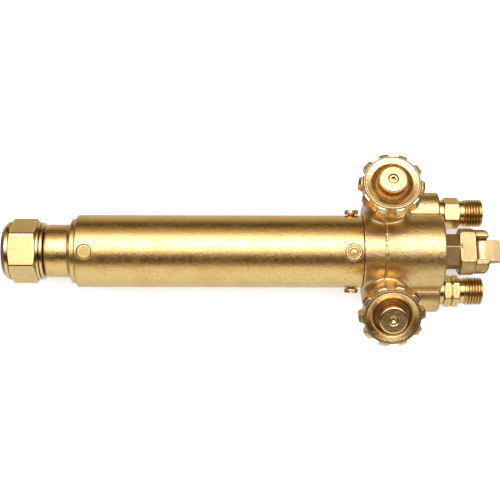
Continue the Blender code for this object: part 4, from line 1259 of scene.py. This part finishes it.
@dataclass(frozen=True)
class Valve:
    """One valve's packing nut, spindle and hand knob, above the parts hidden in its boss."""

    gas: Gas
    nut_flats: float = 12.7 * MM
    nut_shank: float = 5.4 * MM
    nut_bore: float = 3.3 * MM
    nut_foot: float = 24.5 * MM
    nut_base: float = 26.3 * MM
    nut_top: float = 30.8 * MM
    spindle: float = 3.0 * MM
    spindle_end: float = 2.05 * MM
    spindle_foot: float = 5.1 * MM
    spindle_tip: float = 1.1 * MM
    spindle_taper: float = 1.6 * MM
    spindle_step: float = 34.0 * MM
    dimple: float = 1.3 * MM
    base: float = 31.7 * MM
    face: float = 40.9 * MM
    top: float = 44.9 * MM
    web: float = 34.3 * MM
    hole: float = 2.35 * MM
    cavity: float = 9.6 * MM
    boss: float = 7.0 * MM
    floor: float = 36.7 * MM
    floor_radius: float = 8.3 * MM
    dish: float = 1.0 * MM
    dish_radius: float = 9.5 * MM
    lobe: float = 16.1 * MM
    valley: float = 13.9 * MM
    rim_pit: float = 4.0 * MM
    lobes: int = 10
    phase: float = math.radians(31.5)
    groove: float = 13.05 * MM
    groove_width: float = 0.6 * MM
    groove_depth: float = 0.7 * MM

    def knob_outline(self) -> Array:
        """Half section of the knob on a lobe: cavity, rim, face with a turned groove, well and boss."""
        inside, outside = self.groove - self.groove_width / 2, self.groove + self.groove_width / 2
        bottom = self.face - self.groove_depth
        return rounded(
            [
                (self.web, self.hole),
                (self.web, self.cavity, 0.8 * MM),
                (self.base, self.cavity, 0.4 * MM),
                (self.base, self.valley - 0.2 * MM, 0.5 * MM),
                (self.base + 0.7 * MM, self.lobe - 0.8 * MM, 0.8 * MM),
                (self.base + 2.0 * MM, self.lobe, 0.9 * MM),
                (self.face - 2.6 * MM, self.lobe, 0.9 * MM),
                (self.face - 1.1 * MM, self.lobe - 1.1 * MM, 0.6 * MM),
                (self.face - 0.8 * MM, self.valley, 0.4 * MM),
                (self.face, self.valley - 0.25 * MM, 0.3 * MM),
                (self.face, outside, 0.1 * MM),
                (bottom, outside - 0.05 * MM, 0.1 * MM),
                (bottom, inside + 0.05 * MM, 0.1 * MM),
                (self.face, inside, 0.15 * MM),
                (self.face - 0.05 * MM, inside - 0.3 * MM, 0.3 * MM),
                (self.face - self.dish, self.dish_radius, 2.0 * MM),
                (self.floor + 0.5 * MM, self.floor_radius, 0.5 * MM),
                (self.floor, self.boss + 0.1 * MM, 0.4 * MM),
                (self.top, self.boss - 0.1 * MM, 1.1 * MM),
                (self.top, self.hole + 0.3 * MM, 0.1 * MM),
                (self.top - 0.25 * MM, self.hole, 0.1 * MM),
                (self.web, self.hole),
            ],
            stride=0.6 * MM,
        )[:-1]

    def rim(self, height: Array, angle: Array, radius: Array) -> tuple[Array, Array]:
        """Keeps what stands out past the valleys only on lobes: a clipped cosine with soft shoulders."""
        share = np.clip(0.5 + 1.5 * np.cos(self.lobes * (angle - self.gas.value * self.phase)), 0, 1)
        share = share * share * (3 - 2 * share)
        return height, np.minimum(radius, self.valley) + np.maximum(radius - self.valley, 0) * share

    def stem_outline(self) -> Array:
        """Half section of the spindle, from its tapered foot to the dimple in its end."""
        tip = self.top - GAP
        return rounded(
            [
                (self.spindle_foot, 0),
                (self.spindle_foot, self.spindle_tip, 0.2 * MM),
                (self.spindle_foot + self.spindle_taper, self.spindle, 0.3 * MM),
                (self.spindle_step, self.spindle, 0.2 * MM),
                (self.spindle_step, self.spindle_end),
                (tip, self.spindle_end, 0.35 * MM),
                (tip - 0.05 * MM, self.dimple, 0.2 * MM),
                (tip - self.dimple * 0.8, 0),
            ],
            stride=2 * MM,
        )

    def nut_outline(self) -> Array:
        """Half section of the packing nut: shank, hexagon's corners and bore."""
        corner = self.nut_flats / math.sqrt(3)
        return rounded(
            [
                (self.nut_foot, self.nut_bore),
                (self.nut_foot, self.nut_shank, 0.3 * MM),
                (self.nut_base, self.nut_shank),
                (self.nut_base, self.nut_flats / 2),
                (self.nut_base + 0.5 * MM, corner, 0.5 * MM),
                (self.nut_top - 0.8 * MM, corner, 0.6 * MM),
                (self.nut_top, self.nut_flats * 0.46, 0.3 * MM),
                (self.nut_top, self.nut_bore, 0.2 * MM),
            ],
            stride=0.25 * MM,
        )

    def build(self) -> None:
        """Makes the visible pieces and dresses the hidden ones."""
        gas = self.gas.title
        place = self.gas.valve()
        axis = tuple(place.axis)
        machined = MACHINED.material(gas + "_valve_brass", axis)
        cast = KNOB.material(gas + "_knob_brass", axis)
        knob_angles = even_angles(self.lobes * 26)
        # the hollows between the lobes and the well get dirt and painted shade from the finish
        knob = turned(
            gas + "_hand_knob", self.knob_outline(), place, cast, knob_angles, self.rim, pits=self.rim_pit
        )
        settle(knob, gas + "_valve", gas + "_knob")
        stem = turned(gas + "_stem", self.stem_outline(), place, machined, even_angles(64))
        settle(stem, gas + "_valve", gas + "_spindle")
        reach = hex_reach(self.nut_flats, self.nut_base, self.nut_top)
        nut = turned(gas + "_packing_nut_turned", self.nut_outline(), place, machined, hex_angles(12), reach)
        settle(nut, "torch_body", gas + "_packing_nut")
        dress(gas + "_gland_ring", machined)
        dress(gas + "_packing", PACKING.material(gas + "_packing_yarn"))
        dress(gas + "_seat_ball", STEEL.material(gas + "_ball_steel"))


# ---------------------------------------------------------------- hose nipples


@dataclass(frozen=True)
class HoseNipple:
    """One hose inlet: neck, hexagon, relief and a helical thread round a conical seat."""

    gas: Gas
    shank: float = 5.8 * MM
    shank_length: float = 9.0 * MM
    neck: float = 6.75 * MM
    flats: float = 14.3 * MM
    hex_start: float = 2.6 * MM
    hex_end: float = 10.3 * MM
    relief: float = 6.4 * MM
    thread_start: float = 13.3 * MM
    thread: float = 7.144 * MM
    thread_depth: float = 0.85 * MM
    pitch: float = 1.411 * MM
    turns: int = 6
    bore: float = 3.4 * MM
    seat: float = 4.6 * MM
    seat_depth: float = 5.2 * MM
    seat_slope: float = 1.0 * MM
    lip: float = 5.0 * MM
    notch: float = 1.2 * MM
    notch_floor: float = 0.2 * MM
    notch_land: float = 0.4 * MM

    def outline(self) -> Array:
        """Half section from the shank to the end of the thread and back through the seat."""
        corner = self.flats / math.sqrt(3)
        end = self.thread_start + self.turns * self.pitch + GAP
        middle = (self.hex_start + self.hex_end) / 2
        hexagon_corners = [(self.hex_start + 0.6 * MM, corner, 0.6 * MM)]
        if self.gas is Gas.FUEL:
            land = self.flats / 2 + self.notch_land
            hexagon_corners += [
                (middle - self.notch, corner, 0.1 * MM),
                (middle - self.notch_floor, land, 0.1 * MM),
                (middle + self.notch_floor, land, 0.1 * MM),
                (middle + self.notch, corner, 0.1 * MM),
            ]
        hexagon_corners += [(self.hex_end - 0.6 * MM, corner, 0.6 * MM)]
        return rounded(
            [
                (-self.shank_length, self.bore),
                (-self.shank_length, self.shank, 0.4 * MM),
                (GAP, self.shank),
                (GAP, self.neck, 0.3 * MM),
                (self.hex_start, self.neck, 0.1 * MM),
                (self.hex_start, self.flats * 0.49, 0.1 * MM),
                *hexagon_corners,
                (self.hex_end, self.flats * 0.49, 0.1 * MM),
                (self.hex_end, self.relief, 0.4 * MM),
                (self.thread_start - 0.4 * MM, self.relief, 0.3 * MM),
                (self.thread_start + 0.3 * MM, self.thread, 0.2 * MM),
                (end - 0.5 * MM, self.thread, 0.2 * MM),
                (end, self.thread - self.thread_depth, 0.2 * MM),
                (end, self.seat + 0.5 * MM, 0.2 * MM),
                (end - 0.6 * MM, self.seat, 0.2 * MM),
                (end - self.seat_depth, self.seat),
                (end - self.seat_depth - self.seat_slope, self.bore, 0.2 * MM),
            ],
            stride=0.11 * MM,
            support=0.08 * MM,
        )

    def cut(self, height: Array, angle: Array, radius: Array) -> tuple[Array, Array]:
        """Cuts the hexagon, then the thread, which stays outside the seat's lip.

        The thread's wave follows the height in pitches less the angle in turns, or plus it for the
        left-hand thread on the fuel side, and fades out at both ends.
        """
        sides = hex_reach(self.flats, self.hex_start - 0.05 * MM, self.hex_end + 0.05 * MM)
        height, radius = sides(height, angle, radius)
        end = self.thread_start + self.turns * self.pitch
        turn = (height - self.thread_start) / self.pitch - self.gas.value * angle / math.tau
        fade = faded(height, self.thread_start - 0.4 * MM, end + 0.2 * MM, 0.6 * MM, 0.5 * MM)
        depth = self.thread_depth * (1 - thread_wave(turn)) * fade * (radius > self.relief - 0.2 * MM)
        cut = np.maximum(radius - depth, np.minimum(radius, self.lip))
        return height, np.where(height > self.hex_end, cut, radius)

    def build(self) -> None:
        """Makes the nipple."""
        gas = self.gas.title
        place = RearForging().inlet_place(self.gas)
        finish = MACHINED.material(gas + "_nipple_brass")
        # the thread's grooves get dirt and painted shade from the finish
        piece = turned(
            gas + "_nipple_turned",
            self.outline(),
            place,
            finish,
            hex_angles(18),
            self.cut,
            pits=self.thread_depth * 0.8,
            pits_from=self.hex_end,
        )
        settle(piece, "torch_body", gas + "_hose_nipple")


# ---------------------------------------------------------------- swivel


@dataclass(frozen=True)
class Swivel:
    """The forked stud between the hoses, its pin and its flat tab."""

    shank: float = 6.0 * MM
    shank_length: float = 9.0 * MM
    flats: float = 15.9 * MM
    hex_end: float = 8.0 * MM
    flange: float = 11.7 * MM
    flange_end: float = 16.4 * MM
    flange_flat: float = 8.7 * MM
    jaw: float = 11.1 * MM
    jaw_end: float = 23.3 * MM
    jaw_half_depth: float = 7.0 * MM
    slot_half: float = 5.95 * MM
    pin: float = 1.6 * MM
    pin_half: float = 10.5 * MM
    tab_half_width: float = 5.6 * MM
    tab_half: float = 2.45 * MM
    tab_reach: float = 9.7 * MM
    tab_bevel: float = 0.5 * MM
    tab_bevel_length: float = 3.5 * MM

    def place(self) -> Place:
        """A frame at the forging's rear face, whose second axis runs along the swivel's pin."""
        pin = np.array(joint("swivel_tab_pivot")["axis"])
        rear = torch_line().moved(along=station("rear_body", 1)).origin
        return Place(rear, np.cross(pin, ALONG), ALONG)

    def pin_place(self) -> Place:
        """A frame at the middle of the pin, whose third axis runs along it."""
        entry = joint("swivel_tab_pivot")
        return Place(np.array(entry["pos_m"]), ALONG, np.array(entry["axis"]))

    def stud(self) -> Solid:
        """Hexagon, flare, flange with two milled flats, and the fork's jaws."""
        place = self.place()
        solid = rod(place, self.shank, -self.shank_length, self.hex_end, 0.4 * MM)
        solid = solid.joined(hexagon(place, self.flats, GAP, self.hex_end + OVER, 0.3 * MM), 0.1 * MM)
        head = rod(place, self.flange, self.hex_end + 0.4 * MM, self.flange_end, 1.6 * MM)
        jaws = rod(place, self.jaw, self.flange_end - 2 * MM, self.jaw_end, 2.6 * MM)
        wide = 2 * self.flange
        deep = block(place, (-self.jaw_half_depth, -wide, 0), (self.jaw_half_depth, wide, 2 * self.jaw_end))
        jaws = jaws.within(deep, 0.8 * MM)
        flats = block(place, (-self.flange_flat, -wide, -wide), (self.flange_flat, wide, wide))
        head = head.within(flats, 0.3 * MM).joined(jaws, 0.3 * MM)
        slot = block(place, (-wide, -self.slot_half, self.flange_end), (wide, self.slot_half, wide), 0.5 * MM)
        solid = solid.joined(head, 0.8 * MM).without(slot, 0.4 * MM)
        return solid.without(rod(self.pin_place(), self.pin + GAP, -wide, wide), 0.3 * MM)

    def tab(self) -> Solid:
        """A flat bar with a half-round root at the pin and a slightly thinner tip."""
        place = Place(self.pin_place().origin, self.place().across, ALONG)

        def slab(points: Array) -> Array:
            """Distance from the mid-plane less half the thickness, or from the pin's axis behind it."""
            spot = place.local(points)
            sideways, endways = spot[..., 0], spot[..., 2]
            start = self.tab_reach - self.tab_bevel_length
            bevel = np.clip((endways - start) / self.tab_bevel_length, 0, 1)
            return np.hypot(sideways, np.minimum(endways, 0)) - (self.tab_half - self.tab_bevel * bevel)

        across = Place(place.origin, ALONG, place.rows[1])
        solid = Solid(slab).within(half_space(place, self.tab_reach, False), 0.5 * MM)
        solid = solid.within(half_space(across, self.tab_half_width, False), 0.5 * MM)
        solid = solid.within(half_space(across, -self.tab_half_width, True), 0.5 * MM)
        return solid.without(rod(self.pin_place(), self.pin + GAP / 2, -self.flange, self.flange), 0.1 * MM)

    def build(self) -> None:
        """Makes stud, pin and tab."""
        # the swivel's darker forged brass is painted shade
        forged = SWIVEL_PAINTED_SHADE.material("swivel_brass")
        stud = level_surface("swivel_fork", self.stud(), node_box("swivel_stud"), 0.3 * MM, forged)
        settle(stud, "torch_body", "swivel_stud")
        tab = level_surface("swivel_flat_tab", self.tab(), node_box("swivel_tab"), 0.22 * MM, forged)
        settle(tab, "swivel_tab", "swivel_tab")
        ends = self.pin_half
        outline = rounded([(-ends, 0), (-ends, self.pin, 0.4 * MM), (ends, self.pin, 0.4 * MM), (ends, 0)])
        finish = MACHINED.material("pin_brass", tuple(self.pin_place().axis))
        pin = turned("swivel_pin_turned", outline, self.pin_place(), finish, even_angles(48))
        settle(pin, "torch_body", "swivel_pin")


# ---------------------------------------------------------------- studio


Tint = tuple[float, float, float]
DAYLIGHT: Tint = (0.94, 1.0, 1.16)
LAMP: Tint = (0.88, 0.93, 1.25)
CREAM: Tint = (1.0, 0.95, 0.88)
STRAW: Tint = (1.0, 0.88, 0.62)
SHADE: Tint = (1.0, 0.45, 0.18)


@dataclass(frozen=True)
class Studio:
    """A pale floor that sweeps up all round, a soft room, and the camera above.

    The room's light depends on the angle from straight up, towards the oxygen side or away from it,
    so that it lies in soft strips along the torch, as long lamps and dark cards leave it.

    Attributes:
        floor_half: Half of the floor's width.
        floor_colour: The floor's colour.
        floor_glow: How much light the floor gives of its own, which thins the torch's shadow.
        sweep_start: Where the floor starts to rise.
        sweep_rise: How fast it rises, over the square of the distance.
        dim_from: How far along the torch a direction points where the light starts to fade.
        dim_to: And where it has faded.
        end_dimming: The share of the light that is gone there.
        strength: The brightest strip's light.
        distance: The camera's distance from what it looks at.
        height_angle: The camera's angle above the floor.
        roll: How far it is turned about its own line of sight.
        aim: What it looks at, along and across the floor, at the height of the torch's axis.
        across: How much the picture shows there from side to side.
        sensor: The camera's sensor width, in millimetres.
        strips: For each place in the room, its angle in degrees, its light and its tint.
    """

    floor_half: float = 6.0
    floor_colour: tuple[float, float, float] = (0.89, 0.89, 0.87)
    floor_glow: float = 0.45
    sweep_start: float = 3.0
    sweep_rise: float = 0.35
    dim_from: float = 0.35
    dim_to: float = 0.95
    end_dimming: float = 0.75
    strength: float = 4.6
    distance: float = 0.575
    height_angle: float = math.radians(88.3)
    roll: float = math.radians(0.12)
    aim: tuple[float, float] = (-1.25 * MM, 0.65 * MM)
    across: float = 0.252
    sensor: float = 36.0
    strips: tuple[tuple[float, float, Tint], ...] = (
        (-180, 0.72, DAYLIGHT),
        (-120, 0.85, DAYLIGHT),
        (-90, 1.00, DAYLIGHT),
        (-60, 1.02, DAYLIGHT),
        (-51, 0.80, (1.0, 0.92, 0.80)),
        (-45, 0.28, (1.0, 0.62, 0.32)),
        (-39, 0.04, SHADE),
        (-19, 0.04, SHADE),
        (-11, 0.30, (1.0, 0.66, 0.38)),
        (-3, 1.10, CREAM),
        (8, 3.00, LAMP),
        (26, 4.60, LAMP),
        (41, 2.50, LAMP),
        (51, 1.10, CREAM),
        (60, 0.62, STRAW),
        (76, 0.22, (1.0, 0.68, 0.40)),
        (86, 0.04, SHADE),
        (98, 0.06, (1.0, 0.50, 0.22)),
        (112, 0.48, STRAW),
        (135, 0.66, (1.0, 0.98, 0.95)),
        (180, 0.72, DAYLIGHT),
    )

    def floor(self) -> None:
        """Lays the floor just under the torch, seen by the camera but not mirrored in the brass.

        Past a circle round the torch it rises with the square of the distance from that circle.
        """
        sides = np.linspace(-self.floor_half, self.floor_half, 49)
        x, y = np.meshgrid(sides, sides, indexing="ij")
        rise = self.sweep_rise * np.maximum(np.hypot(x, y) - self.sweep_start, 0) ** 2
        points = np.stack([x, y, CAD_BOX[0][2] - 0.2 * MM + rise], axis=-1).reshape(-1, 3)
        numbers = np.arange(x.size).reshape(x.shape)
        corners = [numbers[:-1, :-1], numbers[1:, :-1], numbers[1:, 1:], numbers[:-1, 1:]]
        finish = bpy.data.materials.new("floor_paper")
        finish.use_nodes = True
        shader = finish.node_tree.nodes["Principled BSDF"]
        shader.inputs["Base Color"].default_value = (*self.floor_colour, 1.0)
        shader.inputs["Roughness"].default_value = 0.9
        shader.inputs["Specular IOR Level"].default_value = 0.1
        shader.inputs["Emission Color"].default_value = (*self.floor_colour, 1.0)
        shader.inputs["Emission Strength"].default_value = self.floor_glow
        floor = mesh_object("floor", points, np.stack(corners, axis=-1).reshape(-1, 4), finish)
        floor.visible_glossy = False
        floor.visible_shadow = False

    def room(self) -> None:
        """Lights the scene with strips that follow the angle from straight up."""
        world = bpy.data.worlds.new("room")
        bpy.context.scene.world = world
        world.use_nodes = True
        tree = world.node_tree
        way = node(tree, "ShaderNodeTexCoord", output="Generated")
        parts = tree.nodes.new("ShaderNodeSeparateXYZ")
        tree.links.new(way.socket, parts.inputs[0])
        along, aside, up = (Shade(tree, parts.outputs[axis]) for axis in "XYZ")
        angle = aside.sum_node("ARCTAN2", aside, up) / math.tau + 0.5
        stops = [
            ((turn + 180) / 360, tuple(light / self.strength * part for part in tint))
            for turn, light, tint in self.strips
        ]
        ramp = node(tree, "ShaderNodeValToRGB", {"stops": stops}, {0: angle})
        tree.links.new(ramp.socket, tree.nodes["Background"].inputs["Color"])
        endwise = along.sum_node("ABSOLUTE", along, 0.0).between(self.dim_from, self.dim_to)
        light = (1.0 - endwise * self.end_dimming) * self.strength
        tree.links.new(light.socket, tree.nodes["Background"].inputs["Strength"])

    def camera(self) -> None:
        """Hangs the camera over the torch's middle, at its axis' height."""
        aim = Vector((*self.aim, torch_line().origin[2]))
        back = Vector((0, -math.cos(self.height_angle), math.sin(self.height_angle)))
        lens = bpy.data.cameras.new("camera")
        lens.sensor_width = self.sensor
        lens.lens = self.distance / self.across * self.sensor
        holder = bpy.data.objects.new("camera", lens)
        holder.location = aim + back * self.distance
        turn = (-back).to_track_quat("-Z", "Y") @ Quaternion((0, 0, 1), self.roll)
        holder.rotation_euler = turn.to_euler()
        bpy.context.scene.collection.objects.link(holder)
        bpy.context.scene.camera = holder

    def build(self) -> None:
        """Sets up floor, light and camera."""
        bpy.context.scene.view_settings.view_transform = "Standard"
        self.floor()
        self.room()
        self.camera()


def main() -> None:
    """Builds the torch and its setting."""
    logging.basicConfig(level=logging.INFO, format="%(message)s")
    CouplingNut().build()
    Head().build()
    Barrel().build()
    RearForging().build()
    for gas in Gas:
        Valve(gas).build()
        HoseNipple(gas).build()
    Swivel().build()
    Studio().build()


if __name__ == "__main__":
    main()
